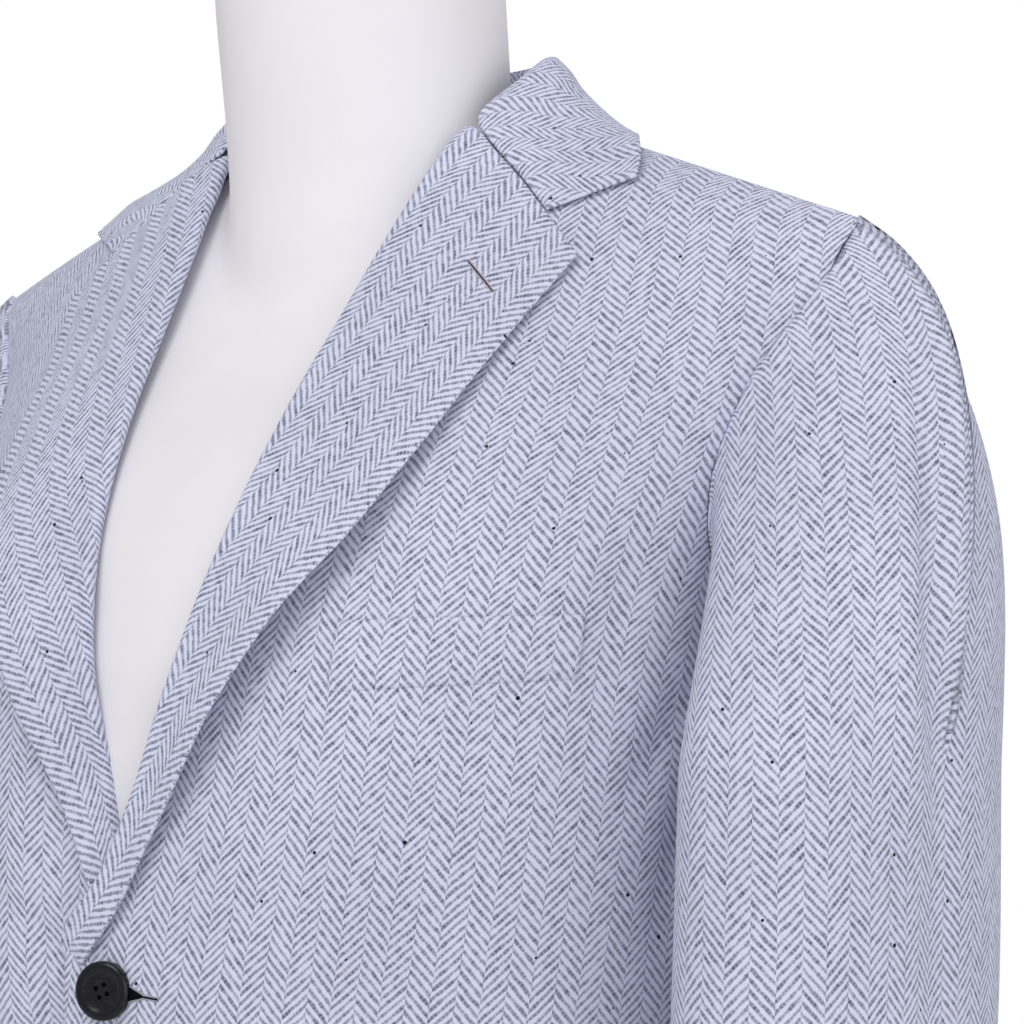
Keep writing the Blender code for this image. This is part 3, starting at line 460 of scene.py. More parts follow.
@dataclass(frozen=True)
class Crease:
    """A soft trough, or a ridge where its depth is above 0, between two places of a surface.

    Angles are in degrees: round the body from the front centre, or round a sleeve from its outer
    side towards its front. Heights are above the floor.
    """

    start: tuple[float, float]
    end: tuple[float, float]
    depth: float
    width: float
    bow: float = 0.0
    only: Side | None = None

    def press(self, angle: Grid, height: Grid, radius: float) -> Grid:
        """Works out how far this crease moves each point along its normal.

        Args:
            angle, height: Where the points are, the angle in radians.
            radius: Metres of cloth for each radian.

        Returns:
            The moves in metres.
        """
        start = np.array([math.radians(self.start[0]) * radius, self.start[1]])
        end = np.array([math.radians(self.end[0]) * radius, self.end[1]])
        run = end - start
        length = float(np.hypot(*run))
        along_unit = run / length
        across_unit = np.array([-along_unit[1], along_unit[0]])
        away = np.stack([angle * radius, height], -1) - start
        along = away @ along_unit / length
        between = np.clip(along, 0, 1)
        across = away @ across_unit - self.bow * 4 * between * (1 - between)
        # it sets in sooner than it dies away, and is a little uneven on the way
        taper = ease(along / 0.30 + 0.25) * ease((1 - along) / 0.45 + 0.15)
        uneven = 0.85 + 0.15 * np.sin(7.0 * along + self.start[0])
        return self.depth * bell(across, self.width) * (taper * uneven)


def pressed(creases: Iterable[Crease], side: Side, angle: Grid, height: Grid, radius: float) -> Grid:
    """Adds up the creases of one side.

    Args:
        creases: The creases, some of them on one side alone.
        side: The side that is being made.
        angle, height: Where the points are.
        radius: Metres of cloth for each radian.

    Returns:
        How far each point moves along its normal.
    """
    moved = np.zeros(np.broadcast(angle, height).shape)
    for crease in creases:
        if crease.only in (None, side):
            moved = moved + crease.press(angle, height, radius)
    return moved


# -------- materials


class Bench:
    """A short hand for wiring a material's nodes."""

    def __init__(self, name: str) -> None:
        """Starts a material with its shader and nothing else wired."""
        self.material = bpy.data.materials.new(name)
        self.material.use_nodes = True
        self.tree = self.material.node_tree
        self.shader = self.tree.nodes["Principled BSDF"]

    def node(
        self, kind: str, inputs: dict[str | int, object] | None = None, **settings: object
    ) -> bpy.types.Node:
        """Adds a node.

        Args:
            kind: Its type.
            inputs: Values or sockets for its inputs, by name or number.
            **settings: Its own settings.

        Returns:
            The node.
        """
        made = self.tree.nodes.new(kind)
        for name, value in settings.items():
            setattr(made, name, value)
        for key, value in (inputs or {}).items():
            if isinstance(value, Socket):
                self.tree.links.new(value, made.inputs[key])
            else:
                made.inputs[key].default_value = value
        return made

    def place(self) -> Socket:
        """Gives the place on the piece, in its own axes."""
        return self.node("ShaderNodeTexCoord").outputs["Object"]

    def grain(self) -> Socket:
        """Gives the place on the piece's grain map."""
        return self.node("ShaderNodeUVMap", uv_map=GRAIN).outputs["UV"]

    def parts(self, vector: object) -> tuple[Socket, ...]:
        """Splits a vector into its three values."""
        return tuple(self.node("ShaderNodeSeparateXYZ", {0: vector}).outputs)

    def calc(self, operation: str, *terms: object) -> Socket:
        """Adds a math node and gives its result."""
        return self.node("ShaderNodeMath", dict(enumerate(terms)), operation=operation).outputs[0]

    def plus(self, first: object, second: object) -> Socket:
        """Adds two values."""
        return self.calc("ADD", first, second)

    def times(self, first: object, second: object) -> Socket:
        """Multiplies two values."""
        return self.calc("MULTIPLY", first, second)

    def swing(self, noise: object, reach: float) -> Socket:
        """Turns a noise from 0 to 1 into one that goes both ways from 0."""
        return self.times(self.calc("SUBTRACT", noise, 0.5), reach)

    def band(
        self, value: object, low: object, high: object, to: tuple[float, float] = (0.0, 1.0)
    ) -> Socket:
        """Maps a value softly from one range to another.

        Args:
            value: The socket to map.
            low, high: The range that it comes from, as numbers or sockets.
            to: What the range's two ends become.

        Returns:
            The mapped value's socket.
        """
        inputs = {"Value": value, "From Min": low, "From Max": high, "To Min": to[0], "To Max": to[1]}
        return self.node("ShaderNodeMapRange", inputs, interpolation_type="SMOOTHSTEP").outputs["Result"]

    def mix(self, factor: object, first: object, second: object, blend: str = "MIX") -> Socket:
        """Mixes two colours and gives the result."""
        made = self.node("ShaderNodeMix", data_type="RGBA", blend_type=blend)
        sockets = (made.inputs["Factor"], made.inputs[6], made.inputs[7])
        for socket, value in zip(sockets, (factor, first, second)):
            if isinstance(value, Socket):
                self.tree.links.new(value, socket)
            else:
                socket.default_value = value if isinstance(value, float) else (*value, 1.0)
        return made.outputs[2]

    def noise(
        self, vector: object, scale: float, detail: float = 2.0, roughness: float = 0.5
    ) -> Socket:
        """Adds a noise texture and gives its value."""
        inputs = {"Vector": vector, "Scale": scale, "Detail": detail, "Roughness": roughness}
        return self.node("ShaderNodeTexNoise", inputs).outputs["Fac"]

    def join(self, x: object, y: object, z: object = 0.0) -> Socket:
        """Joins three values into a vector."""
        return self.node("ShaderNodeCombineXYZ", {0: x, 1: y, 2: z}).outputs[0]

    def emboss(self, height: object, distance: float, strength: float) -> None:
        """Gives the shader a bump.

        Args:
            height: The relief's socket.
            distance: How high the relief stands, in metres.
            strength: How strongly it shades.
        """
        inputs = {"Height": height, "Distance": distance, "Strength": strength}
        bump = self.node("ShaderNodeBump", inputs)
        self.tree.links.new(bump.outputs["Normal"], self.shader.inputs["Normal"])

    def paint(self, **sockets: object) -> Finish:
        """Sets or links the shader's own sockets and gives the material.

        Args:
            **sockets: Socket names with underscores for spaces, and their values.

        Returns:
            The finished material.
        """
        for name, value in sockets.items():
            socket = self.shader.inputs[name.replace("_", " ")]
            if isinstance(value, Socket):
                self.tree.links.new(value, socket)
            elif isinstance(value, tuple):
                socket.default_value = (*value, 1.0)
            else:
                socket.default_value = value
        return self.material


@dataclass(frozen=True)
class HerringboneTweed:
    """Grey wool woven in upright stripes whose twill turns back at each stripe's edge.

    The stripe is one stripe's width and the pitch one rib's height. The waver and the sway are how
    far the yarns stray across the stripes and along them.
    """

    name: str = "herringbone_tweed"
    stripe: float = 0.00885
    pitch: float = 0.0036
    waver: float = 0.0011
    sway: float = 0.0022
    relief: float = 0.00045
    light: Colour = (0.71, 0.735, 0.91)
    dark: Colour = (0.095, 0.102, 0.165)
    darker: Colour = (0.034, 0.037, 0.068)
    fleck: Colour = (0.012, 0.010, 0.014)
    hair: Colour = (0.34, 0.36, 0.46)
    blush: Colour = (0.72, 0.60, 0.66)
    fleck_cell: float = 0.017

    def make(self) -> Finish:
        """Wires the weave on the piece's own grain map.

        Returns:
            The material.
        """
        bench = Bench(self.name)
        grain = bench.grain()
        fuzz = bench.noise(grain, 1500.0, 2.0, 0.7)
        depth, strand = self.weave(bench, grain, fuzz)
        yarn = bench.mix(bench.band(strand, 0.55, 0.85), self.dark, self.darker)
        cloth = self.tint(bench, grain, bench.mix(depth, self.light, yarn))
        cloth = self.fleck_over(bench, grain, fuzz, cloth)
        relief = bench.plus(bench.times(depth, -1.0), bench.times(fuzz, 0.55))
        bench.emboss(relief, self.relief, 0.55)
        return bench.paint(
            Base_Color=cloth, Roughness=0.95, Sheen_Weight=0.22, Sheen_Roughness=0.45,
            Sheen_Tint=(0.90, 0.92, 1.0), Specular_IOR_Level=0.18,
        )

    def weave(self, bench: Bench, grain: Socket, fuzz: Socket) -> tuple[Socket, Socket]:
        """Wires the ribs, which climb one way in one stripe and the other way in the next.

        Args:
            bench: The material's bench.
            grain: The place on the grain map.
            fuzz: The wool's fine hair.

        Returns:
            How dark the gap between the ribs is, and each strand's own chance value.
        """
        across, up, _ = bench.parts(grain)
        u = bench.plus(across, bench.swing(bench.noise(grain, 260.0, 1.0), self.waver))
        v = bench.plus(up, bench.swing(bench.noise(bench.place(), 34.0, 1.0), self.sway))
        stripes = bench.calc("DIVIDE", u, self.stripe)
        number = bench.calc("FLOOR", stripes)
        odd = bench.calc("PINGPONG", number, 1.0)
        zigzag = bench.times(bench.calc("PINGPONG", stripes, 1.0), self.stripe / self.pitch)
        rise = bench.calc("DIVIDE", v, self.pitch)
        # every second stripe is half a rib out of step
        ribs = bench.plus(bench.plus(rise, zigzag), bench.times(odd, 0.5))
        along = bench.calc("SUBTRACT", rise, zigzag)
        rib_number = bench.calc("FLOOR", bench.plus(ribs, 0.25))
        tooth = bench.plus(bench.calc("PINGPONG", ribs, 0.5), bench.swing(fuzz, 0.26))
        strand = bench.noise(bench.join(rib_number, bench.times(along, 0.9), number), 0.93)
        ply = bench.calc("PINGPONG", bench.times(along, 1.6), 0.5)
        width = bench.band(strand, 0.30, 0.70, (0.15, 0.27))
        low, high = bench.plus(width, -0.075), bench.plus(width, 0.10)
        gap = bench.band(tooth, low, high, (1.0, 0.0))
        knots = bench.band(ply, 0.02, 0.22, (0.62, 1.0))
        depth = bench.times(bench.times(gap, knots), bench.band(strand, 0.25, 0.75, (0.62, 1.0)))
        return bench.times(depth, bench.band(fuzz, 0.25, 0.75, (0.72, 1.0))), strand

    def tint(self, bench: Bench, grain: Socket, cloth: Socket) -> Socket:
        """Lays stray hairs, a faint blush and soft clouds over the weave.

        Args:
            bench: The material's bench.
            grain: The place on the grain map.
            cloth: The weave's colour.

        Returns:
            The colour with them.
        """
        across, up, _ = bench.parts(grain)
        speck = bench.noise(bench.join(across, up, 3.0), 620.0, 2.0, 0.7)
        cloth = bench.mix(bench.band(speck, 0.56, 0.80, (0.0, 0.32)), cloth, self.hair)
        blush = bench.band(bench.noise(grain, 95.0, 3.0), 0.60, 0.82, (0.0, 0.16))
        cloth = bench.mix(blush, cloth, self.blush)
        clouds = bench.band(bench.noise(bench.place(), 11.0), 0.3, 0.7, (0.95, 1.04))
        return bench.mix(1.0, cloth, bench.join(clouds, clouds, clouds), "MULTIPLY")

    def fleck_over(self, bench: Bench, grain: Socket, fuzz: Socket, cloth: Socket) -> Socket:
        """Scatters small dark flecks, about one for every five cells of the cloth.

        Args:
            bench: The material's bench.
            grain: The place on the grain map.
            fuzz: The wool's fine hair.
            cloth: The cloth's colour.

        Returns:
            The colour with them.
        """
        cells = bench.node(
            "ShaderNodeTexVoronoi", {"Vector": grain, "Scale": 1 / self.fleck_cell, "Randomness": 1.0},
            voronoi_dimensions="2D",
        )
        chance = bench.node("ShaderNodeSeparateColor", {0: cells.outputs["Color"]})
        chosen = bench.band(chance.outputs[0], 0.79, 0.81)
        reach = bench.band(chance.outputs[1], 0.0, 1.0, (0.020, 0.062))
        ragged = bench.plus(cells.outputs["Distance"], bench.times(fuzz, 0.03))
        blot = bench.calc("LESS_THAN", ragged, reach)
        return bench.mix(bench.times(blot, chosen), cloth, self.fleck)


@dataclass(frozen=True)
class PolishedHorn:
    """Near-black horn with a soft polish and faint streaks."""

    name: str = "polished_horn"
    dark: Colour = (0.004, 0.004, 0.007)
    streak: Colour = (0.016, 0.015, 0.021)

    def make(self) -> Finish:
        """Wires the streaks and the worn polish.

        Returns:
            The material.
        """
        bench = Bench(self.name)
        place = bench.place()
        drawn = bench.node("ShaderNodeMapping", {"Vector": place, "Scale": (1.0, 1.0, 3.0)}).outputs[0]
        streaks = bench.noise(drawn, 240.0, 4.0, 0.6)
        wear = bench.noise(place, 900.0, 3.0)
        bench.emboss(bench.noise(place, 1400.0, 2.0), 0.00004, 0.25)
        return bench.paint(
            Base_Color=bench.mix(bench.band(streaks, 0.45, 0.75), self.dark, self.streak),
            Roughness=bench.band(wear, 0.3, 0.7, (0.17, 0.27)), Specular_IOR_Level=0.32,
        )


@dataclass(frozen=True)
class Thread:
    """Twisted sewing thread, as in a buttonhole's stitches; its near-black kind is the painted shade of
    the slits.
    """

    name: str
    colour: Colour
    sheen: float = 0.2
    stitch: float = 0.0009

    def make(self) -> Finish:
        """Wires fine stitches round the buttonhole's lip, with painted shade in the grooves between
        them.

        Returns:
            The material.
        """
        bench = Bench(self.name)
        grain = bench.grain()
        along = bench.parts(grain)[0]
        stitch = bench.calc("PINGPONG", bench.calc("DIVIDE", along, self.stitch), 0.5)
        fuzz = bench.noise(grain, 2200.0)
        bench.emboss(bench.plus(stitch, bench.times(fuzz, 0.3)), 0.0003, 0.8)
        # the colour dims where the stitches dip: painted shade in the grooves between them
        shade = bench.band(bench.plus(stitch, bench.times(fuzz, 0.4)), 0.05, 0.5)
        dim = tuple(0.55 * part for part in self.colour)
        return bench.paint(
            Base_Color=bench.mix(shade, dim, self.colour), Roughness=0.85,
            Sheen_Weight=self.sheen, Specular_IOR_Level=self.sheen,
        )


@dataclass(frozen=True)
class SmoothCover:
    """The dress form's tightly drawn off-white cover."""

    name: str = "smooth_cover"
    light: Colour = (0.89, 0.87, 0.91)
    dim: Colour = (0.83, 0.81, 0.84)
    warp_count: float = 70.0
    weft_pitch: float = 0.0008

    def make(self) -> Finish:
        """Wires a fine plain weave and a little uneven colour.

        Returns:
            The material.
        """
        bench = Bench(self.name)
        place = bench.place()
        x, y, z = bench.parts(place)
        warp = bench.calc("PINGPONG", bench.times(bench.calc("ARCTAN2", y, x), self.warp_count), 0.5)
        weft = bench.calc("PINGPONG", bench.calc("DIVIDE", z, self.weft_pitch), 0.5)
        clouds = bench.noise(place, 9.0, 3.0)
        fuzz = bench.noise(place, 1300.0)
        bench.emboss(bench.plus(bench.times(warp, weft), bench.times(fuzz, 0.6)), 0.00012, 0.35)
        return bench.paint(
            Base_Color=bench.mix(bench.band(clouds, 0.35, 0.75), self.light, self.dim),
            Roughness=0.72, Sheen_Weight=0.08, Specular_IOR_Level=0.3,
        )


@dataclass(frozen=True)
class SatinSteel:
    """The stand's satin grey steel, with a fine turned grain and light scuffs."""

    name: str = "satin_steel"
    colour: Colour = (0.33, 0.335, 0.345)

    def make(self) -> Finish:
        """Wires rings of fine grain and scattered scuffs.

        Returns:
            The material.
        """
        bench = Bench(self.name)
        place = bench.place()
        x, y, z = bench.parts(place)
        reach = bench.node("ShaderNodeVectorMath", {0: bench.join(x, y)}, operation="LENGTH")
        rings = bench.join(bench.times(reach.outputs["Value"], 9.0), z)
        turned = bench.noise(rings, 220.0, 3.0)
        scuffs = bench.band(bench.noise(place, 60.0, 5.0, 0.7), 0.58, 0.74)
        rough = bench.plus(bench.band(turned, 0.3, 0.7, (0.27, 0.37)), bench.times(scuffs, 0.14))
        bench.emboss(turned, 0.00003, 0.3)
        dim = tuple(0.8 * part for part in self.colour)
        return bench.paint(Base_Color=bench.mix(scuffs, self.colour, dim), Metallic=0.9, Roughness=rough)


@dataclass(frozen=True)
class PaleFloor:
    """A plain pale floor."""

    name: str = "pale_floor"
    colour: Colour = (0.86, 0.86, 0.87)

    def make(self) -> Finish:
        """Gives the floor a faint mottle.

        Returns:
            The material.
        """
        bench = Bench(self.name)
        place = bench.place()
        mottle = bench.band(bench.noise(place, 3.0, 3.0), 0.3, 0.7)
        dim = tuple(0.97 * part for part in self.colour)
        return bench.paint(Base_Color=bench.mix(mottle, self.colour, dim), Roughness=0.8)


# -------- making pieces


@dataclass
class Wardrobe:
    """The finishes, each made once, and the steps that every piece goes through."""

    tweed: Finish = field(default_factory=HerringboneTweed().make)
    horn: Finish = field(default_factory=PolishedHorn().make)
    grey_thread: Finish = field(default_factory=Thread("grey_thread", (0.36, 0.37, 0.44)).make)
    rose_thread: Finish = field(default_factory=Thread("rose_thread", (0.52, 0.46, 0.52)).make)
    # near-black sheet finish for the buttonhole slits: painted shade in their openings
    painted_slit_shade: Finish = field(default_factory=Thread("painted_slit_shade", (0.007, 0.007, 0.011), 0.0).make)
    cover: Finish = field(default_factory=SmoothCover().make)
    steel: Finish = field(default_factory=SatinSteel().make)

    def take(self, piece: Piece, finish: Finish, slot: str, *nodes: str) -> Piece:
        """Gives a piece its finish and its place in the frame.

        Args:
            piece: The piece.
            finish: Its material.
            slot: Not used; the record's slot that it belongs to.
            *nodes: The frame's nodes that it stands for.

        Returns:
            The piece.
        """
        piece.data.materials.clear()
        piece.data.materials.append(finish)
        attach(piece, BODY)
        if nodes:
            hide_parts(*nodes)
        log.info("%s: %d faces", piece.name, len(piece.data.polygons))
        return piece


def wall(
    name: str,
    places: Grid,
    grain: Grid,
    thickness: float,
    side: Side = Side.LEFT,
    facing: Grid | None = None,
    roundness: float = 0.26,
) -> Piece:
    """Makes a closed wall of cloth with softly turned edges and its grain map.

    Args:
        name: The piece's name.
        places: Rows of points on the outer face.
        grain: The grain map at each point.
        thickness: The cloth's thickness.
        side: The right side is the mirror image of the points.
        facing: The outward directions, where the points alone don't give them well.
        roundness: The share of the thickness by which the faces turn in at their edges.

    Returns:
        The piece.
    """
    rows, columns = places.shape[:2]
    facing = normals(places) if facing is None else facing
    rim = [(0, j) for j in range(columns)]
    rim += [(i, columns - 1) for i in range(1, rows)]
    rim += [(rows - 1, j) for j in reversed(range(columns - 1))]
    rim += [(i, 0) for i in reversed(range(1, rows - 1))]
    at = tuple(np.array(rim).T)
    inward = (np.clip(at[0], 1, rows - 2), np.clip(at[1], 1, columns - 2))
    outward = places[at] - places[inward]
    outward -= facing[at] * np.sum(outward * facing[at], -1, keepdims=True)
    outward /= np.maximum(np.linalg.norm(outward, axis=-1, keepdims=True), 1e-9)
    outer, inner = places.copy(), places - facing * thickness
    outer[at] -= facing[at] * thickness * roundness
    inner[at] += facing[at] * thickness * roundness
    middle = places[at] - facing[at] * thickness / 2 + outward * thickness * EDGE_SWELL
    points = np.concatenate([outer.reshape(-1, 3), inner.reshape(-1, 3), middle])
    lengths = np.concatenate([grain.reshape(-1, 2), grain.reshape(-1, 2), grain[at]])

    def corner(i: Grid, j: Grid) -> Grid:
        """Numbers the point of a row and column."""
        return i * columns + j

    i, j = np.meshgrid(np.arange(rows - 1), np.arange(columns - 1), indexing="ij")
    quads = np.stack([corner(i, j), corner(i, j + 1), corner(i + 1, j + 1), corner(i + 1, j)], -1)
    quads = quads.reshape(-1, 4)
    back = quads[:, ::-1] + rows * columns
    ring = np.arange(len(rim))
    after = np.roll(ring, -1)
    out, seam = corner(*at), ring + 2 * rows * columns
    upper = np.stack([out[after], out[ring], seam[ring], seam[after]], -1)
    under = out + rows * columns
    lower = np.stack([seam[after], seam[ring], under[ring], under[after]], -1)
    faces = np.concatenate([quads, back, upper, lower])
    if side is Side.RIGHT:
        points = points * MIRROR
        faces = faces[:, ::-1]
    mesh = bpy.data.meshes.new(name)
    mesh.from_pydata(points.tolist(), [], faces.tolist())
    loops = np.empty(len(mesh.loops), dtype=np.int32)
    mesh.loops.foreach_get("vertex_index", loops)
    layer = mesh.uv_layers.new(name=GRAIN)
    layer.data.foreach_set("uv", lengths[loops].astype(np.float32).ravel())
    mesh.shade_smooth()
    piece = bpy.data.objects.new(name, mesh)
    bpy.context.scene.collection.objects.link(piece)
    return piece


def lengths_over(places: Grid, row: int = 0, column: int = 0) -> Grid:
    """Measures a grid of points: lengths across its rows from a column, and up its columns from a row.

    Args:
        places: The grid.
        row, column: Where the lengths start.

    Returns:
        Two lengths for each point.
    """
    step = length_of(np.diff(places, axis=1))
    across = np.concatenate([np.zeros((len(places), 1)), np.cumsum(step, axis=1)], axis=1)
    step = length_of(np.diff(places, axis=0))
    up = np.concatenate([np.zeros((1, places.shape[1])), np.cumsum(step, axis=0)], axis=0)
    return np.stack([across - across[:, column : column + 1], up - up[row : row + 1]], -1)


def only(piece: Piece) -> None:
    """Selects one piece and nothing else, and makes it active."""
    bpy.ops.object.select_all(action="DESELECT")
    piece.select_set(True)
    bpy.context.view_layer.objects.active = piece


def cylinder(
    radius: float, low: float, high: float, sides: int, x: float = 0.0, y: float = 0.0
) -> Piece:
    """Adds an upright cylinder between two heights, with nothing else selected."""
    bpy.ops.object.select_all(action="DESELECT")
    place = (x, y, (low + high) / 2)
    bpy.ops.mesh.primitive_cylinder_add(vertices=sides, radius=radius, depth=high - low, location=place)
    return bpy.context.object


def settle(piece: Piece) -> None:
    """Puts a piece's place, turn and size into its mesh."""
    only(piece)
    bpy.ops.object.transform_apply(location=True, rotation=True, scale=True)


def pick_faces(piece: Piece, wanted: Callable[[bpy.types.MeshPolygon], bool]) -> None:
    """Selects the faces of a piece in edit mode by a rule on each face.

    Args:
        piece: The active piece, in edit mode.
        wanted: The rule.
    """
    bpy.ops.mesh.select_all(action="DESELECT")
    bpy.ops.object.mode_set(mode="OBJECT")
    for face in piece.data.polygons:
        face.select = wanted(face)
    bpy.ops.object.mode_set(mode="EDIT")


def finish_with(piece: Piece, kind: str, **settings: object) -> None:
    """Adds a modifier and applies it.

    Args:
        piece: The piece.
        kind: The modifier's type.
        **settings: Its settings.
    """
    only(piece)
    modifier = piece.modifiers.new(kind.lower(), kind)
    for name, value in settings.items():
        setattr(modifier, name, value)
    bpy.ops.object.modifier_apply(modifier=modifier.name)


def bevel(piece: Piece, width: float, segments: int, sharper: float) -> None:
    """Rounds a piece's edges that turn by more than an angle, in degrees."""
    angle = math.radians(sharper)
    finish_with(piece, "BEVEL", width=width, segments=segments, limit_method="ANGLE", angle_limit=angle)


@dataclass(frozen=True)
class Cut:
    """The flat size that a piece was cut to, as far as it shows."""

    width: float
    length: float
    area: float

    def declare(self, piece: Piece, held: Held, *rests_on: str) -> None:
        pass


# -------- body panels


@dataclass
class Panels:
    """The fronts, side panels and backs, which all lie on the body's shape."""

    body: BodyShape = field(default_factory=BodyShape)
    cloth: float = 0.0020
    underlap: float = 0.0080
    crease_radius: float = 0.160
    seam_width: float = 0.0035
    seam_depth: float = 0.0003
    rows_below: int = 140
    rows_above: int = 66
    columns: int = 62
    front_seam: tuple[float, float] = (math.radians(66.0), math.radians(84.0))
    back_seam: tuple[float, float] = (math.radians(113.0), math.radians(103.0))
    front_lean: float = 0.14
    front_fade: float = 0.20
    front_cut: Cut = Cut(0.300, 0.730, 0.166)
    side_cut: Cut = Cut(0.100, 0.530, 0.041)
    back_cut: Cut = Cut(0.250, 0.750, 0.156)
    front_edge: tuple[Edge, ...] = (
        Edge(0.135, 0.060),
        Edge(0.142, 0.032),
        Edge(0.158, 0.010),
        Edge(0.190, -0.006),
        Edge(0.240, -0.016),
        Edge(0.310, -0.020),
    )
    roll_line: tuple[Edge, ...] = (
        Edge(0.530, -0.020),
        Edge(0.563, 0.0020),
        Edge(0.635, 0.0240),
        Edge(0.700, 0.0390),
        Edge(0.760, 0.0490),
        Edge(0.815, 0.0575),
        Edge(0.848, 0.0655),
    )
    hole_front: tuple[Hole, ...] = (
        Hole(0.643, 0.018),
        Hole(0.6465, 0.000),
        Hole(0.655, -0.0155),
        Hole(0.670, -0.0270),
        Hole(0.690, -0.0325),
        Hole(0.715, -0.0285),
        Hole(0.740, -0.0175),
        Hole(0.762, -0.0050),
        Hole(0.785, 0.0080),
    )
    hole_back: tuple[Hole, ...] = (
        Hole(0.643, 0.018),
        Hole(0.6465, 0.036),
        Hole(0.655, 0.0510),
        Hole(0.670, 0.0630),
        Hole(0.690, 0.0700),
        Hole(0.715, 0.0705),
        Hole(0.740, 0.0645),
        Hole(0.762, 0.0545),
        Hole(0.785, 0.0390),
    )
    hole_centre: tuple[float, float] = (0.018, 0.722)
    creases: tuple[Crease, ...] = (
        # the breastbone's shallow hollow between the lapels
        Crease((5.0, 0.545), (15.0, 0.790), -0.0062, 0.0480),
        # the pull of the fastened button
        Crease((6.0, 0.524), (34.0, 0.566), -0.0013, 0.0070, 0.004),
        Crease((7.0, 0.510), (40.0, 0.488), -0.0015, 0.0075, -0.004, Side.LEFT),
        Crease((8.0, 0.506), (30.0, 0.462), -0.0012, 0.0065, 0.003, Side.RIGHT),
        Crease((26.0, 0.548), (50.0, 0.580), 0.0011, 0.0120),
        # the chest's drape beside the armhole
        Crease((62.0, 0.700), (56.0, 0.560), -0.0016, 0.0110, 0.004),
        Crease((74.0, 0.632), (60.0, 0.575), -0.0020, 0.0080, 0.003),
        Crease((80.0, 0.615), (70.0, 0.520), -0.0022, 0.0090, -0.003, Side.LEFT),
        Crease((82.0, 0.600), (68.0, 0.535), -0.0018, 0.0080, 0.004, Side.RIGHT),
        Crease((48.0, 0.735), (40.0, 0.640), -0.0009, 0.0130, 0.004),
        # across the waist
        Crease((58.0, 0.502), (92.0, 0.470), -0.0022, 0.0080, 0.004, Side.LEFT),
        Crease((66.0, 0.478), (97.0, 0.498), -0.0020, 0.0075, 0.003, Side.RIGHT),
        Crease((84.0, 0.530), (108.0, 0.500), -0.0018, 0.0085, -0.003),
        Crease((44.0, 0.452), (74.0, 0.438), -0.0011, 0.0100, 0.003),
        # the skirt
        Crease((56.0, 0.300), (50.0, 0.140), -0.0013, 0.0150, 0.004, Side.LEFT),
        Crease((62.0, 0.290), (60.0, 0.150), -0.0014, 0.0140, -0.004, Side.RIGHT),
        Crease((94.0, 0.340), (92.0, 0.150), -0.0020, 0.0160, 0.003),
        Crease((128.0, 0.330), (133.0, 0.140), -0.0020, 0.0170, -0.004, Side.LEFT),
        Crease((122.0, 0.300), (125.0, 0.150), -0.0016, 0.0150, 0.003, Side.RIGHT),
        # the back: blades, waist and below the collar
        Crease((112.0, 0.690), (124.0, 0.560), -0.0024, 0.0100, 0.005),
        Crease((120.0, 0.650), (138.0, 0.530), -0.0016, 0.0120, -0.004, Side.LEFT),
        Crease((118.0, 0.665), (131.0, 0.545), -0.0018, 0.0110, 0.003, Side.RIGHT),
        Crease((108.0, 0.522), (146.0, 0.486), -0.0020, 0.0085, 0.004, Side.LEFT),
        Crease((112.0, 0.494), (150.0, 0.512), -0.0018, 0.0080, -0.004, Side.RIGHT),
        Crease((136.0, 0.470), (171.0, 0.452), -0.0013, 0.0095, 0.003),
        Crease((140.0, 0.810), (176.0, 0.800), -0.0012, 0.0070, -0.003),
        Crease((150.0, 0.780), (172.0, 0.775), 0.0008, 0.0100),
    )

    def seam_angle(self, level: Grid, seam: tuple[float, float]) -> Grid:
        """Gives a side seam's angle, which drifts from the hem to the armhole."""
        return seam[0] + (seam[1] - seam[0]) * np.clip(1 - level / self.body.hem_level, 0, 1)

    @functools.cached_property
    def edge_table(self) -> tuple[Grid, Grid]:
        """The front edge and the roll line as levels and angles."""
        rows = self.front_edge + self.roll_line
        theta, level = self.body.on_front([row.x for row in rows], [row.height for row in rows])
        end = math.asin(self.body.neck_half / self.body.shoulder_tip[0])
        return np.append(level, 1.0), np.append(theta, end)

    def front_edge_angle(self, level: Grid) -> Grid:
        """Gives the angle of the front edge and, above the break point, of the roll line."""
        return smooth(level, *self.edge_table)

    @functools.cached_property
    def hole_tables(self) -> dict[str, tuple[Grid, Grid]]:
        """The armhole's front and back edges as levels and angles."""
        tables = {}
        for name, rows in (("front", self.hole_front), ("back", self.hole_back)):
            theta, level = self.body.on_side([row.y for row in rows], [row.height for row in rows])
            tables[name] = (np.append(level, 1.0), np.append(theta, math.pi / 2))
        return tables

    def hole_angle(self, level: Grid, part: str) -> Grid:
        """Gives the angle of one edge of the armhole, above its lowest point."""
        return smooth(level, *self.hole_tables[part])

    @functools.cached_property
    def hole_places(self) -> tuple[Grid, Grid]:
        """The armhole's edge as angles and levels: down its front, then up its back."""
        lowest = self.hole_tables["front"][0][0]
        rising = lowest + (1 - lowest) * np.linspace(0, 1, 300) ** 2
        front, back = self.hole_angle(rising, "front"), self.hole_angle(rising, "back")
        return np.concatenate([front[::-1], back[1:]]), np.concatenate([rising[::-1], rising[1:]])

    @functools.cached_property
    def hole_curve(self) -> tuple[Grid, Grid]:
        """Points round the armhole's edge, and the angle of each about the armhole's centre."""
        curve = self.body.at(*self.hole_places)
        turn = np.arctan2(-(curve[:, 1] - self.hole_centre[0]), curve[:, 2] - self.hole_centre[1])
        return np.unwrap(turn), curve

    def armhole(self, turn: Grid) -> Grid:
        """Finds the armhole's edge: turn is 0 at the shoulder tip and a quarter turn at the front."""
        angle, curve = self.hole_curve
        turn = np.mod(turn, FULL_TURN)
        return np.stack([np.interp(turn, angle, curve[:, k], period=FULL_TURN) for k in range(3)], -1)

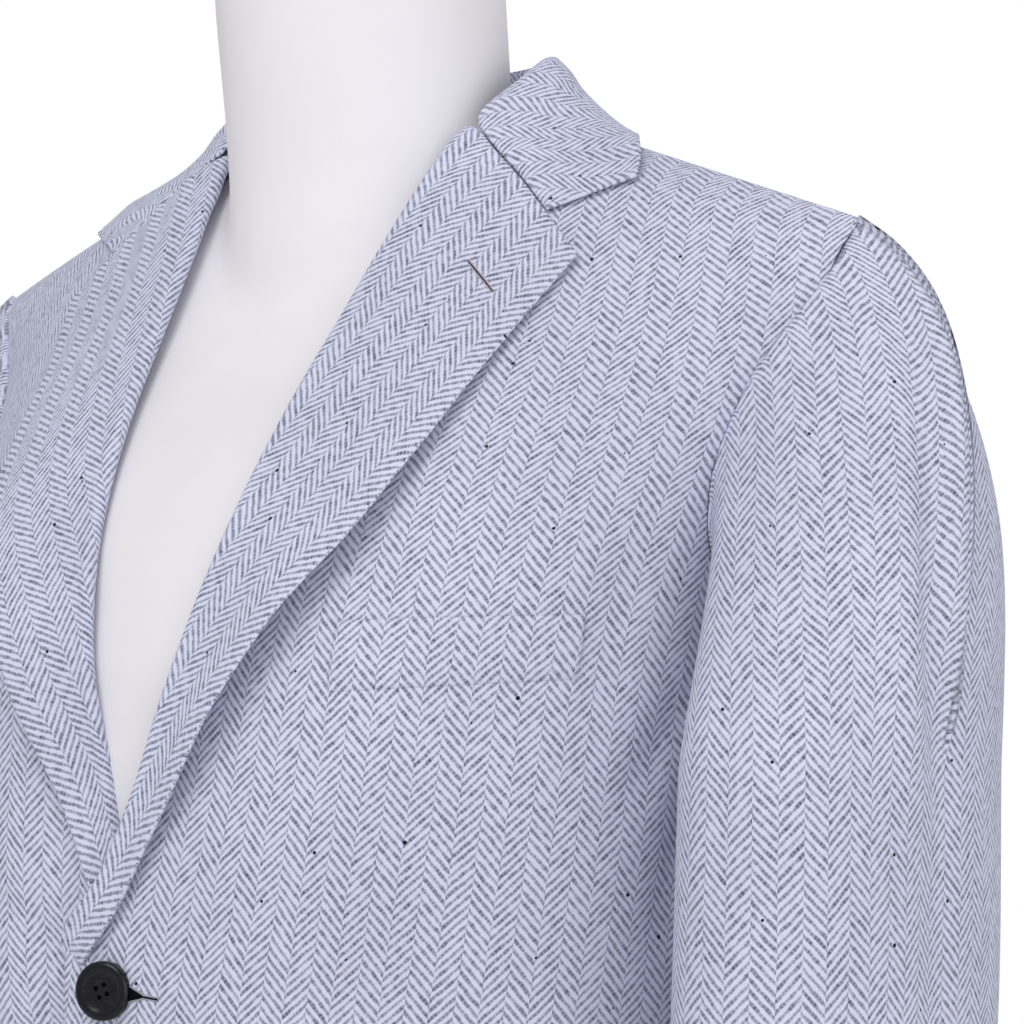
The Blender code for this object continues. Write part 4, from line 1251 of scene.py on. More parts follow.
    def tuck(self, side: Side, x: Grid, level: Grid) -> Grid:
        """Gives how far the right front lies behind the left one that laps over it."""
        if side is Side.LEFT:
            return 0 * x
        return self.underlap * (1 - ease((x - 0.022) / 0.040)) * (1 - ease((level + 0.30) / 0.36))

    def relief(self, side: Side, theta: Grid, level: Grid) -> Grid:
        """Gives how far the creases and the tuck move each point of the body along its normal."""
        places = self.body.at(theta, level)
        moved = pressed(self.creases, side, theta, places[..., 2], self.crease_radius)
        return moved - np.where(np.cos(theta) > 0, self.tuck(side, places[..., 0], level), 0.0)

    def skin(self, side: Side, theta: Grid, level: Grid, lift: Grid | float = 0.0) -> Grid:
        """Finds points on the creased body, moved out by lift."""
        return self.body.off(theta, level, self.relief(side, theta, level) + lift)

    def levels(self) -> Grid:
        """Spaces the rows below and above the chest, close together at both ends."""
        hem = self.body.hem_level
        below = np.linspace(hem + 0.016, 0, self.rows_below, endpoint=False)
        above = np.linspace(0, 0.985, self.rows_above)
        return np.concatenate([[hem, hem + 0.006], below, above, [0.995, 1.0]])[:, None]

    def seam_dip(self, places: Grid, start: bool, end: bool, top: bool) -> Grid:
        """Draws the cloth in beside its seams.

        Args:
            places: The panel's points.
            start, end, top: Which of its edges are sewn to another piece.

        Returns:
            How far each point moves along its normal.
        """
        width = lengths_over(places)[..., 0]
        dip = np.zeros(width.shape)
        if start:
            dip -= bell(width, self.seam_width)
        if end:
            dip -= bell(width[:, -1:] - width, self.seam_width)
        if top:
            dip -= bell(length_of(places - places[-1:]), self.seam_width)
        return self.seam_depth * dip

    def panel(
        self, name: str, side: Side, theta: Grid, level: Grid, grain: Grid, sewn: tuple[bool, bool, bool]
    ) -> Piece:
        """Makes one panel.

        Args:
            name: Its name.
            side: Its side.
            theta, level: Its points' places on the body's shape.
            grain: Its grain map.
            sewn: Whether its first edge, its last edge and its top are sewn to another piece.

        Returns:
            The panel.
        """
        flat = self.body.at(theta, level)
        places = self.skin(side, theta, level, self.seam_dip(flat, *sewn))
        # both panels turn the same way at the shoulder seam, so that their edges meet
        seam = unit(np.array([self.body.shoulder_slope, 0.0, 1.0]))
        near_seam = ease((level - 0.97) / 0.03)[..., None]
        facing = unit(normals(places) * (1 - near_seam) + seam * near_seam)
        return wall(name, places, grain, self.cloth, side, facing, SEWN_EDGE)

    def make_front(self, side: Side) -> Piece:
        """Makes a front, from its edge and roll line to the side seam, armhole and shoulder."""
        level = self.levels()
        start = self.front_edge_angle(level)
        lowest = self.hole_tables["front"][0][0]
        hole = self.hole_angle(np.maximum(level, lowest), "front")
        seam = self.seam_angle(level, self.front_seam)
        end = np.minimum(seam, np.where(level > lowest, hole, math.pi / 2))
        theta = start + (end - start) * spread(self.columns)
        level = level + 0 * theta
        grain = self.body.grain(theta, level, 0.0, self.front_lean, self.front_fade)
        return self.panel(side.node("tweed_front"), side, theta, level, grain, (False, True, True))

    def make_side(self, side: Side) -> Piece:
        """Makes a side panel, whose top is the lowest part of the armhole."""
        across = spread(22, 0.012)
        top_theta = self.front_seam[1] + (self.back_seam[1] - self.front_seam[1]) * across
        hole_theta, hole_level = self.hole_places
        under = slice(hole_theta.argmin(), hole_theta.argmax() + 1)
        top_level = np.interp(top_theta, hole_theta[under], hole_level[under])
        hem = self.body.hem_level
        rows = np.linspace(hem + 0.016, -0.006, self.rows_below - 2)
        up = np.concatenate([[hem, hem + 0.006], rows, [0.0]])[:, None]
        level = up + top_level * ease((up + 0.35) / 0.35)
        start, end = self.seam_angle(up, self.front_seam), self.seam_angle(up, self.back_seam)
        theta = start + (end - start) * across
        grain = self.body.grain(theta, level, math.radians(88.0)) + np.array([0.003, 0.0012])
        return self.panel(side.node("tweed_side"), side, theta, level, grain, (True, True, True))

    def make_back(self, side: Side) -> Piece:
        """Makes a back, from the side seam and armhole to the centre back seam."""
        level = self.levels()
        lowest = self.hole_tables["back"][0][0]
        hole = self.hole_angle(np.maximum(level, lowest), "back")
        seam = self.seam_angle(level, self.back_seam)
        start = np.maximum(seam, np.where(level > lowest, hole, math.pi / 2))
        theta = start + (math.pi - start) * spread(self.columns)
        level = level + 0 * theta
        grain = self.body.grain(theta, level, math.pi) + np.array([0.0044, 0.0])
        return self.panel(side.node("tweed_back"), side, theta, level, grain, (True, True, True))

    def make(self, wardrobe: Wardrobe) -> None:
        """Makes the six panels."""
        for side in Side:
            for maker, node, cut in (
                (self.make_front, "front", self.front_cut),
                (self.make_side, "side", self.side_cut),
                (self.make_back, "back", self.back_cut),
            ):
                piece = wardrobe.take(maker(side), wardrobe.tweed, "tweed", side.node(node))
                cut.declare(piece, Held.DRAPED, "form_torso")


# -------- lapels


@dataclass(frozen=True)
class LapelEdge:
    """A point of the lapel's free edge, and how far the edge stands off the chest there."""

    x: float
    height: float
    lift: float


@dataclass
class Lapels:
    """The fronts' edges turned back: a soft fold along the roll line, then the lapel on the chest."""

    panels: Panels
    gap: float = 0.0009
    gorge_gap: float = 0.0007
    roll_radius: float = 0.0032
    break_sink: float = 0.0020
    cut: Cut = Cut(0.098, 0.360, 0.0205)
    free_edge: tuple[LapelEdge, ...] = (
        LapelEdge(-0.0130, 0.524, 0.0010),
        LapelEdge(0.0060, 0.545, 0.0020),
        LapelEdge(0.0235, 0.576, 0.0060),
        LapelEdge(0.0490, 0.622, 0.0105),
        LapelEdge(0.0700, 0.654, 0.0115),
        LapelEdge(0.0930, 0.686, 0.0090),
        LapelEdge(0.1050, 0.715, 0.0045),
        LapelEdge(0.1200, 0.763, 0.0015),
        LapelEdge(0.1315, 0.7905, 0.0010),
    )
    gorge: tuple[Edge, ...] = (
        Edge(0.8480, 0.0655),
        Edge(0.8415, 0.0765),
        Edge(0.8235, 0.0980),
        Edge(0.8095, 0.1130),
    )

    def places_of(self, rows: Sequence[Edge | LapelEdge]) -> Grid:
        """Finds rows with an x and a height on the body's shape."""
        x, height = [row.x for row in rows], [row.height for row in rows]
        return np.array(self.panels.body.on_front(x, height)).T

    def flat_map(self, down: Grid, across: Grid) -> Grid:
        """Spreads the lapel between its four edges, as angles and levels.

        Args:
            down: Stations along it from the break point to the gorge.
            across: Stations from the roll line to the free edge.

        Returns:
            An angle and a level for each point.
        """
        roll, edge = self.places_of(self.panels.roll_line), self.places_of(self.free_edge)
        roll_level = through(down, roll)[:, 1]
        left = np.stack([self.panels.front_edge_angle(roll_level), roll_level], -1)[:, None]
        right = through(down, edge)[:, None]
        notch = [Edge(row.height - self.gorge_gap, row.x) for row in self.gorge]
        notch_at = self.places_of([*notch, self.free_edge[-1]])
        stations = np.linspace(0, 1, len(notch_at))
        top = np.stack([np.interp(across, stations, notch_at[:, k]) for k in range(2)], -1)[None]
        u, v = across[None, :, None], down[:, None, None]
        bottom = left[:1] * (1 - u) + right[:1] * u
        sides = left * (1 - u) + right * u
        ends = bottom * (1 - v) + top * v
        return sides + ends - bottom * (1 - v) - (left[-1:] * (1 - u) + right[-1:] * u) * v

    def lift(self, down: Grid, across: Grid) -> Grid:
        """Gives how far the lapel's outer face stands off the chest."""
        stations = np.linspace(0, 1, len(self.free_edge))
        stand_off = np.interp(down, stations, [row.lift for row in self.free_edge])
        lying = self.gap + self.panels.cloth
        top_of_fold = 2 * self.roll_radius - self.panels.cloth
        lift = lying + stand_off * across**1.5 + (top_of_fold - lying) * (1 - across) ** 3
        return lift * (0.30 + 0.70 * ease(down / 0.09)) - self.sink(down)

    def sink(self, down: Grid) -> Grid:
        """Gives how far the lapel runs into the front's edge just above the break point."""
        return self.break_sink * (1 - ease(down / 0.030))

    def at(self, side: Side, down: Grid, across: Grid) -> Grid:
        """Finds points of the lapel's outer face beyond its fold.

        Args:
            side: The lapel's side.
            down, across: Stations, as for flat_map.

        Returns:
            The points.
        """
        spot = self.flat_map(down, across)
        lift = self.lift(down[:, None], across[None])
        return self.panels.skin(side, spot[..., 0], spot[..., 1], lift)

    def make_lapel(self, side: Side) -> Piece:
        """Makes one lapel with its rolled fold."""
        down, across = spread(96, 0.004), np.concatenate([np.linspace(0, 0.985, 36), [1.0]])
        spot = self.flat_map(down, across)
        start = spot[:, :1]
        body = self.panels.body
        small = 1e-3
        near = body.at(start[..., 0] + small, start[..., 1]) - body.at(start[..., 0], start[..., 1])
        per_radian = length_of(near) / small
        turn = np.radians(np.linspace(282.0, 100.0, 15))
        fullness = 0.45 + 0.55 * ease(down / 0.07)[:, None]
        radius = self.roll_radius * fullness
        fold_theta = start[..., 0] + (radius * np.cos(turn) - 0.0004) / per_radian
        fold_lift = radius * (1 + np.sin(turn)) - self.panels.cloth * fullness - self.sink(down)[:, None]
        theta = np.concatenate([fold_theta, spot[..., 0]], axis=1)
        level = np.concatenate([start[..., 1] + 0 * fold_theta, spot[..., 1]], axis=1)
        lift = np.concatenate([fold_lift, self.lift(down[:, None], across[None])], axis=1)
        places = self.panels.skin(side, theta, level, lift)
        grain = lengths_over(places, 0, places.shape[1] - 1)
        return wall(side.node("tweed_lapel"), places, grain, self.panels.cloth, side)

    def make(self, wardrobe: Wardrobe) -> None:
        """Makes both lapels."""
        for side in Side:
            piece = wardrobe.take(self.make_lapel(side), wardrobe.tweed, "tweed", side.node("lapel"))
            self.cut.declare(piece, Held.FOLDED, side.node("tweed_front"))


# -------- collar


@dataclass(frozen=True)
class CollarStation:
    """A place along the collar: a point of its fold, and the point of its free edge beside it."""

    fold: tuple[float, float, float]
    edge: tuple[float, float, float]


@dataclass
class Collar:
    """The collar's leaf, which falls from its fold on to the shoulders, and the stand inside it.

    The roll is how high the leaf arches at each share of the way from its fold to its free edge.
    """

    lapels: Lapels
    leaf_cut: Cut = Cut(0.460, 0.085, 0.0197)
    stand_cut: Cut = Cut(0.220, 0.030, 0.0050)
    stand_from: int = 2
    stand_narrow: float = 0.94
    point: tuple[tuple[float, float, float], ...] = (
        (0.1418, -0.0125, 0.8245),
        (0.1385, -0.0050, 0.8320),
        (0.1345, 0.0010, 0.8385),
    )
    roll: tuple[tuple[float, float], ...] = (
        (0.0, 0.0), (0.06, 0.0030), (0.15, 0.0052), (0.28, 0.0050), (0.45, 0.0020), (1.0, 0.0),
    )
    stations: tuple[CollarStation, ...] = (
        CollarStation((0.0668, -0.0120, 0.8560), (0.1290, 0.0085, 0.8432)),
        CollarStation((0.0725, 0.0030, 0.8690), (0.1240, 0.0165, 0.8450)),
        CollarStation((0.0735, 0.0185, 0.8795), (0.1130, 0.0290, 0.8470)),
        CollarStation((0.0645, 0.0360, 0.8840), (0.0985, 0.0465, 0.8475)),
        CollarStation((0.0500, 0.0535, 0.8860), (0.0790, 0.0640, 0.8475)),
        CollarStation((0.0270, 0.0660, 0.8875), (0.0450, 0.0800, 0.8470)),
        CollarStation((0.0000, 0.0705, 0.8880), (0.0000, 0.0880, 0.8465)),
    )

    def clear_of_body(self, places: Grid, lift: float) -> Grid:
        """Moves points out until they are far enough off the body's shape.

        Args:
            places: The points.
            lift: The least distance off the shape.

        Returns:
            The moved points.
        """
        body = self.lapels.panels.body
        theta, level = np.meshgrid(np.linspace(-0.2, math.pi + 0.2, 200), np.linspace(0.2, 1.0, 160))
        skin, facing = body.at(theta, level).reshape(-1, 3), body.normal(theta, level).reshape(-1, 3)
        tree = KDTree(len(skin))
        for index, place in enumerate(skin):
            tree.insert(place, index)
        tree.balance()
        short = np.zeros(places.shape[:-1])
        way = np.zeros(places.shape)
        for where in np.ndindex(places.shape[:-1]):
            _, index, _ = tree.find(places[where])
            short[where] = max(lift - float(np.dot(places[where] - skin[index], facing[index])), 0.0)
            way[where] = facing[index]
        # each point follows its neighbours, so that the moved cloth stays smooth
        for _ in range(3):
            around = short[:-2, 1:-1] + short[2:, 1:-1] + short[1:-1, :-2] + short[1:-1, 2:]
            short[1:-1, 1:-1] = np.maximum(short[1:-1, 1:-1], around / 4)
        return places + way * short[..., None]

    def half_leaf(self, along: Grid, across: Grid) -> Grid:
        """Lays out the leaf's left half.

        Args:
            along: Stations from the notch to the back centre.
            across: Stations from the fold to the free edge.

        Returns:
            The points, a row for each station.
        """
        lapels = self.lapels
        rows = [Edge(row.height + lapels.gorge_gap, row.x) for row in lapels.gorge[:0:-1]]
        gorge = lapels.places_of(rows)
        lying = lapels.gap + lapels.panels.cloth
        start = lapels.panels.body.off(gorge[:, 0], gorge[:, 1], 0 * gorge[:, 0] + lying)
        inner = np.concatenate([start, [row.fold for row in self.stations]])
        outer = np.concatenate([self.point, [row.edge for row in self.stations]])
        inner, outer = through(along, inner, True), through(along, outer, True)
        raised = ease((along * (len(self.stations) + 2) - 2.0) / 2.0)[:, None]
        rise = smooth(across, *zip(*self.roll))
        half = inner[:, None] + (outer - inner)[:, None] * across[:, None]
        half[..., 2] += rise * raised
        half = self.clear_of_body(half, lying)
        return half

    def whole(self, half: Grid) -> Grid:
        """Adds the mirror image of a left half, and turns its rows to run round the neck."""
        half[-1, :, 0] = 0.0
        return np.concatenate([half, half[-2::-1] * MIRROR]).transpose(1, 0, 2)[:, ::-1]

    def make_leaf(self) -> Piece:
        """Makes the leaf, whole from notch to notch."""
        along = np.concatenate([spread(74, 0.004)[:-2], [1.0]])
        places = self.whole(self.half_leaf(along, spread(24, 0.015)))
        grain = lengths_over(places, places.shape[0] - 1, places.shape[1] // 2)
        return wall("tweed_collar_leaf", places, grain, self.lapels.panels.cloth)

    def make_stand(self) -> Piece:
        """Makes the band between the neckline and the underside of the fold."""
        body, cloth = self.lapels.panels.body, self.lapels.panels.cloth
        fold = np.array([row.fold for row in self.stations[self.stand_from :]])
        along = spread(40, 0.01)
        top = through(along, fold, True) - np.array([0.0, 0.0, 0.0012])
        x = np.minimum(fold[:, 0] * self.stand_narrow, body.neck_half)
        y = body.neck_seam_y + body.neckline_depth * np.sqrt(1 - (x / body.neck_half) ** 2)
        z = body.shoulder_tip[2] + (body.shoulder_tip[0] - body.neck_half) * body.shoulder_slope + 0 * x
        bottom = through(along, np.stack([x, y, z], -1), True)
        places = self.whole(top[:, None] + (bottom - top)[:, None] * spread(10, 0.03)[:, None])
        grain = lengths_over(places, 0, places.shape[1] // 2)
        return wall("tweed_collar_stand", places, grain, cloth)

    def make(self, wardrobe: Wardrobe) -> None:
        """Makes the leaf and the stand."""
        leaf = wardrobe.take(self.make_leaf(), wardrobe.tweed, "tweed", "collar_leaf")
        self.leaf_cut.declare(leaf, Held.FOLDED, "tweed_back_left", "tweed_back_right")
        stand = wardrobe.take(self.make_stand(), wardrobe.tweed, "tweed", "collar_stand")
        self.stand_cut.declare(stand, Held.FOLDED, "tweed_back_left", "tweed_back_right")


# -------- sleeves


@dataclass(frozen=True)
class SleeveRing:
    """A level section of the sleeve below the armpit."""

    height: float
    x: float
    y: float
    half_width: float
    half_depth: float


@dataclass(frozen=True)
class Cap:
    """How strongly the sleeve runs on outwards as it leaves the armhole, at an angle round it."""

    turn: float
    strength: float


@dataclass
class Sleeves:
    """Two-piece sleeves that hang from the armholes.

    The roping is the soft ridge that the eased-in cloth makes a little way down from the seam. The
    tip columns are extra columns, in degrees, where the armhole turns sharply at the shoulder tip.
    """

    panels: Panels
    power: float = 2.15
    drop: float = math.radians(32.0)
    arrival: float = 0.6
    front_seam: float = math.radians(138.0)
    back_seam: float = math.radians(-108.0)
    tucked: float = 0.0016
    crown_reach: float = math.radians(85.0)
    crown_ease: float = 0.65
    crease_radius: float = 0.058
    roping: float = 0.0014
    roping_down: float = 0.0040
    roping_width: float = 0.0060
    seam_depth: float = 0.0005
    level_run: float = 1.5
    tip_columns: tuple[float, ...] = (-2.4, -1.2, 0.0, 1.2, 2.4)
    top_cut: Cut = Cut(0.280, 0.640, 0.141)
    under_cut: Cut = Cut(0.150, 0.500, 0.062)
    rings: tuple[SleeveRing, ...] = (
        SleeveRing(0.600, 0.2410, -0.026, 0.0435, 0.0800),
        SleeveRing(0.520, 0.2430, -0.033, 0.0430, 0.0815),
        SleeveRing(0.430, 0.2440, -0.043, 0.0405, 0.0760),
        SleeveRing(0.330, 0.2430, -0.056, 0.0380, 0.0680),
        SleeveRing(0.250, 0.2405, -0.065, 0.0355, 0.0605),
        SleeveRing(0.190, 0.2380, -0.069, 0.0340, 0.0560),
    )
    cap: tuple[Cap, ...] = (
        Cap(-180.0, 0.035),
        Cap(-130.0, 0.050),
        Cap(-90.0, 0.100),
        Cap(-45.0, 0.280),
        Cap(0.0, 0.260),
        Cap(45.0, 0.180),
        Cap(90.0, 0.028),
        Cap(130.0, 0.030),
        Cap(180.0, 0.035),
    )
    creases: tuple[Crease, ...] = (
        # the long drag folds that start at the sleeve's head
        Crease((10.0, 0.800), (-4.0, 0.580), -0.0058, 0.0062, 0.0152),
        Crease((4.0, 0.650), (2.0, 0.460), -0.0034, 0.0080, 0.0010),
        Crease((21.0, 0.800), (7.0, 0.570), 0.0026, 0.0062, 0.0152),
        Crease((40.0, 0.762), (66.0, 0.610), -0.0019, 0.0080, 0.0030),
        Crease((30.0, 0.700), (34.0, 0.545), -0.0008, 0.0090, 0.002),
        Crease((-14.0, 0.772), (-32.0, 0.640), 0.0042, 0.0190),
        Crease((-72.0, 0.705), (-78.0, 0.400), -0.0027, 0.0110, -0.003),
        # the inside of the elbow and the forearm
        Crease((104.0, 0.470), (62.0, 0.420), -0.0021, 0.0070, 0.004, Side.LEFT),
        Crease((110.0, 0.452), (66.0, 0.448), -0.0020, 0.0070, -0.003, Side.RIGHT),
        Crease((112.0, 0.425), (74.0, 0.378), -0.0024, 0.0080, 0.004),
        Crease((100.0, 0.500), (100.0, 0.330), -0.0016, 0.0110, 0.003),
        Crease((120.0, 0.375), (86.0, 0.336), -0.0015, 0.0070, 0.003, Side.LEFT),
        Crease((20.0, 0.450), (26.0, 0.300), -0.0014, 0.0120, -0.004),
        Crease((-40.0, 0.420), (-30.0, 0.260), -0.0012, 0.0120, 0.003, Side.RIGHT),
        Crease((-58.0, 0.400), (-92.0, 0.380), -0.0012, 0.0080, 0.003),
        # the under sleeve and the back of the armhole
        Crease((-100.0, 0.650), (-118.0, 0.560), -0.0022, 0.0080, 0.004),
        Crease((-128.0, 0.610), (-112.0, 0.500), -0.0018, 0.0090, -0.004, Side.LEFT),
        Crease((-140.0, 0.590), (-126.0, 0.470), -0.0018, 0.0090, 0.003, Side.RIGHT),
        Crease((160.0, 0.600), (165.0, 0.470), -0.0020, 0.0100, 0.003),
        Crease((84.0, 0.640), (90.0, 0.560), -0.0012, 0.0070, 0.002),
    )

    def tube(self, turn: Grid, height: Grid) -> Grid:
        """Finds the plain sleeve's points below the armpit."""
        rows = self.rings[::-1]
        heights = [row.height for row in rows]
        x, y, wide, deep = (
            smooth(height, heights, [getattr(row, name) for row in rows])
            for name in ("x", "y", "half_width", "half_depth")
        )
        out, ahead = np.cos(turn), np.sin(turn)
        size = (np.abs(out) ** self.power + np.abs(ahead) ** self.power) ** (-1 / self.power)
        return np.stack([x + wide * out * size, y - deep * ahead * size, height + 0 * turn], -1)

    def root(self, turn: Grid) -> Grid:
        """Finds the armhole's point for an angle round the sleeve, with fullness eased in on top."""
        near_top = 1 - ease(np.abs(turn) / self.crown_reach)
        return self.panels.armhole(turn * (1 - self.crown_ease * near_top))

    def start(self, turn: Grid) -> tuple[Grid, Grid]:
        """Finds where the sleeve leaves the armhole, and which way and how strongly it runs.

        Args:
            turn: Angles round the sleeve.

        Returns:
            The places and the speeds.
        """
        top = np.clip(np.cos(turn), 0, 1) ** 2
        drop = self.drop * top
        sideways = -0.30 * np.sin(turn) * np.abs(np.sin(turn))
        leave = np.stack([np.cos(drop), sideways, -np.sin(drop)], -1)
        degrees = np.mod(np.degrees(turn) + 180.0, 360.0) - 180.0
        strength = smooth(degrees, [row.turn for row in self.cap], [row.strength for row in self.cap])
        return self.root(turn), leave * strength[..., None]

    def plain(self, turn: Grid, down: Grid) -> Grid:
        """Finds the plain sleeve's points: down is 0 at the armhole, 1 at the armpit, 2 at the cuff."""
        armpit, cuff = self.rings[0].height, self.rings[-1].height
        below = self.tube(turn, armpit + (cuff - armpit) * np.maximum(down - 1, 0))
        start, leave = self.start(turn)
        end = self.tube(turn, armpit + 0 * turn)
        hang = (self.tube(turn, armpit - 1e-3 + 0 * turn) - end) / 1e-3
        arrive = hang * (self.arrival * length_of(end - start))[..., None]
        head = hermite(np.clip(down, 0, 1)[..., None], start, end, leave, arrive)
        return np.where((down < 1)[..., None], head, below)

    def plain_normal(self, turn: Grid, down: Grid) -> Grid:
        """Gives the plain sleeve's outward direction."""
        small = 1e-3
        here = self.plain(turn, down)
        across, along = self.plain(turn + small, down) - here, self.plain(turn, down + small) - here
        return unit(np.cross(across, along))

    def at(self, side: Side, turn: Grid, down: Grid) -> Grid:
        """Finds points of the creased sleeve, with its head roped softly over the armhole seam.

        Args:
            side: The sleeve's side.
            turn, down: Where on the sleeve.

        Returns:
            The points of its outer face.
        """
        places = self.plain(turn, down)
        creased = pressed(self.creases, side, turn, places[..., 2], self.crease_radius)
        run = length_of(places - self.root(turn))
        top = ease(np.cos(turn) + 0.35)
        roped = self.roping * top * bell(run - self.roping_down, self.roping_width)
        lift = creased * ease(run / 0.02) + roped
        return places + self.plain_normal(turn, down) * lift[..., None]

    def grain(self, places: Grid, origin: int) -> Grid:
        """Lays the weave on a sleeve's piece, with its stripes upright from the cuff to the seam.

        Args:
            places: The piece's points, in rows from the armhole down to the cuff.
            origin: The column from which the lengths round the sleeve count.

        Returns:
            Two lengths in metres for each point.
        """
        height = places[..., 2]
        falling = np.minimum.accumulate(height, axis=0)[::-1]
        stations = np.linspace(height.min(), height.max(), 320)
        columns = range(places.shape[1])
        x, y = (
            np.stack([np.interp(stations, falling[:, j], places[::-1, j, k]) for j in columns], axis=1)
            for k in range(2)
        )
        step = length_of(np.diff(np.stack([x, y], -1), axis=1))
        total = np.concatenate([np.zeros((len(stations), 1)), np.cumsum(step, axis=1)], axis=1)
        total -= total[:, origin : origin + 1]
        around = np.stack([np.interp(height[:, j], stations, total[:, j]) for j in columns], axis=1)
        hang = length_of(np.diff(places[::-1, origin], axis=0))
        climb = np.interp(height, falling[:, origin], np.concatenate([[0.0], np.cumsum(hang)]))
        # where the cloth runs out level from the seam, its height alone would stretch the weave
        run = length_of(np.diff(places, axis=0))
        rise = np.sqrt(np.maximum(run**2 - np.diff(around, axis=0) ** 2, 0))
        level = np.maximum(rise - self.level_run * np.abs(np.diff(climb, axis=0)), 0)
        climb[:-1] += np.cumsum(level[::-1], axis=0)[::-1]
        return np.stack([around, climb], -1)

    def make_piece(
        self, name: str, side: Side, first: float, last: float, count: int, origin: int
    ) -> Piece:
        """Makes one of a sleeve's two pieces, between two seams.

        Args:
            name: Its name.
            side: Its side.
            first, last: The angles of its two seams.
            count: How many columns it has between its edges.
            origin: The column from which its weave counts.

        Returns:
            The piece.
        """
        across = spread(count, 0.010)
        if first < 0:
            tip = np.radians(self.tip_columns)
            across = np.unique(np.concatenate([across, (tip - first) / (last - first)]))
        head, arm = np.linspace(0.022, 1, 62, endpoint=False), np.linspace(1, 1.994, 128)
        down = np.concatenate([[0.0, 0.008], head, arm, [2.0]])
        turn, rows = np.meshgrid(first + (last - first) * across, down)
        places = self.at(side, turn, rows)
        width = lengths_over(places)[..., 0]
        edge = np.minimum(width, width[:, -1:] - width)
        facing = normals(places)
        dip = self.seam_depth * bell(edge, self.panels.seam_width)
        places = places - facing * dip[..., None]
        # the first row goes on past the seam, under the panels' edges
        back = unit(places[1] - places[3])
        places[0] = self.root(turn[0]) + back * self.tucked - facing[1] * self.tucked / 4
        grain = self.grain(self.plain(turn, rows), origin)
        return wall(side.node(name), places, grain, self.panels.cloth, side, None, SEWN_EDGE)

    def make(self, wardrobe: Wardrobe) -> None:
        """Makes both pieces of both sleeves."""
        first, last = self.back_seam, self.front_seam
        for side in Side:
            top = self.make_piece("tweed_sleeve_top", side, first, last, 74, 36)
            wardrobe.take(top, wardrobe.tweed, "tweed", side.node("sleeve_top"))
            self.top_cut.declare(top, Held.DRAPED, side.node("tweed_front"), side.node("tweed_back"))
            under = self.make_piece("tweed_sleeve_under", side, last, first + FULL_TURN, 36, 0)
            wardrobe.take(under, wardrobe.tweed, "tweed", side.node("sleeve_under"))
            self.under_cut.declare(under, Held.DRAPED, side.node("tweed_side"))


# -------- pockets and buttonholes


@dataclass
class Pockets:
    """The breast welt and the hip flaps, with the weave matched to the panels under them.

    The climb is how far the front rises for one level, just above the chest.
    """

    panels: Panels
    gap: float = 0.0003
    climb: float = 0.19
    welt_cloth: float = 0.0014
    welt_from: float = math.radians(27.5)
    welt_to: float = math.radians(57.0)
    welt_top: float = 0.6530
    welt_rise: float = 0.0040
    welt_deep: float = 0.024
    welt_cut: Cut = Cut(0.097, 0.025, 0.0023)
    flap_cloth: float = 0.0016
    flap_from: float = math.radians(40.0)
    flap_to: float = math.radians(84.0)
    flap_top: float = 0.372
    flap_deep: float = 0.052
    flap_wide: float = 0.13
    flap_corner: float = 0.012
    flap_cut: Cut = Cut(0.140, 0.052, 0.0068)

    def lay(
        self, name: str, side: Side, theta: Grid, height: Grid, thickness: float, lift: Grid
    ) -> Piece:
        """Lays a flat piece on the creased panels.

        Args:
            name: Its name.
            side: Its side.
            theta, height: Its points, in rows that go up.
            thickness: Its thickness.
            lift: How far its inner face stands off the panel.

        Returns:
            The piece.
        """
        body = self.panels.body
        level = (height - body.chest) / np.where(height < body.chest, body.level_unit, self.climb)
        places = self.panels.skin(side, theta, level, lift + thickness)
        grain = body.grain(theta, level, 0.0, self.panels.front_lean, self.panels.front_fade)
        return wall(name, places, grain, thickness, side)

    def make(self, wardrobe: Wardrobe) -> None:
        """Makes the welt and both flaps."""
        across, up = spread(40, 0.008), spread(12, 0.03)[:, None]
        theta = self.welt_from + (self.welt_to - self.welt_from) * across + 0 * up
        height = self.welt_top + self.welt_rise * across - self.welt_deep * (1 - up)
        lift = self.gap * ease(up / 0.6) + 0 * theta - 0.0008 * (1 - ease(up / 0.25))
        welt = self.lay("tweed_welt", Side.LEFT, theta, height, self.welt_cloth, lift)
        wardrobe.take(welt, wardrobe.tweed, "tweed", "breast_welt")
        self.welt_cut.declare(welt, Held.LAID, "tweed_front_left")
        up = spread(18, 0.02)[:, None]
        theta = self.flap_from + (self.flap_to - self.flap_from) * across + 0 * up
        inside = np.clip(np.minimum(across, 1 - across) * self.flap_wide / self.flap_corner, 0, 1)
        rounding = self.flap_corner * (1 - np.sqrt(1 - (1 - inside) ** 2))
        height = self.flap_top - (self.flap_deep - rounding) * (1 - up) + 0 * theta
        lift = self.gap + 0.0012 * (1 - up) ** 2 + 0 * theta - 0.0010 * ease((up - 0.85) / 0.15)
        for side in Side:
            flap = self.lay(side.node("tweed_flap"), side, theta, height, self.flap_cloth, lift)
            wardrobe.take(flap, wardrobe.tweed, "tweed", side.node("flap"))
            self.flap_cut.declare(flap, Held.LAID, side.node("tweed_front"))


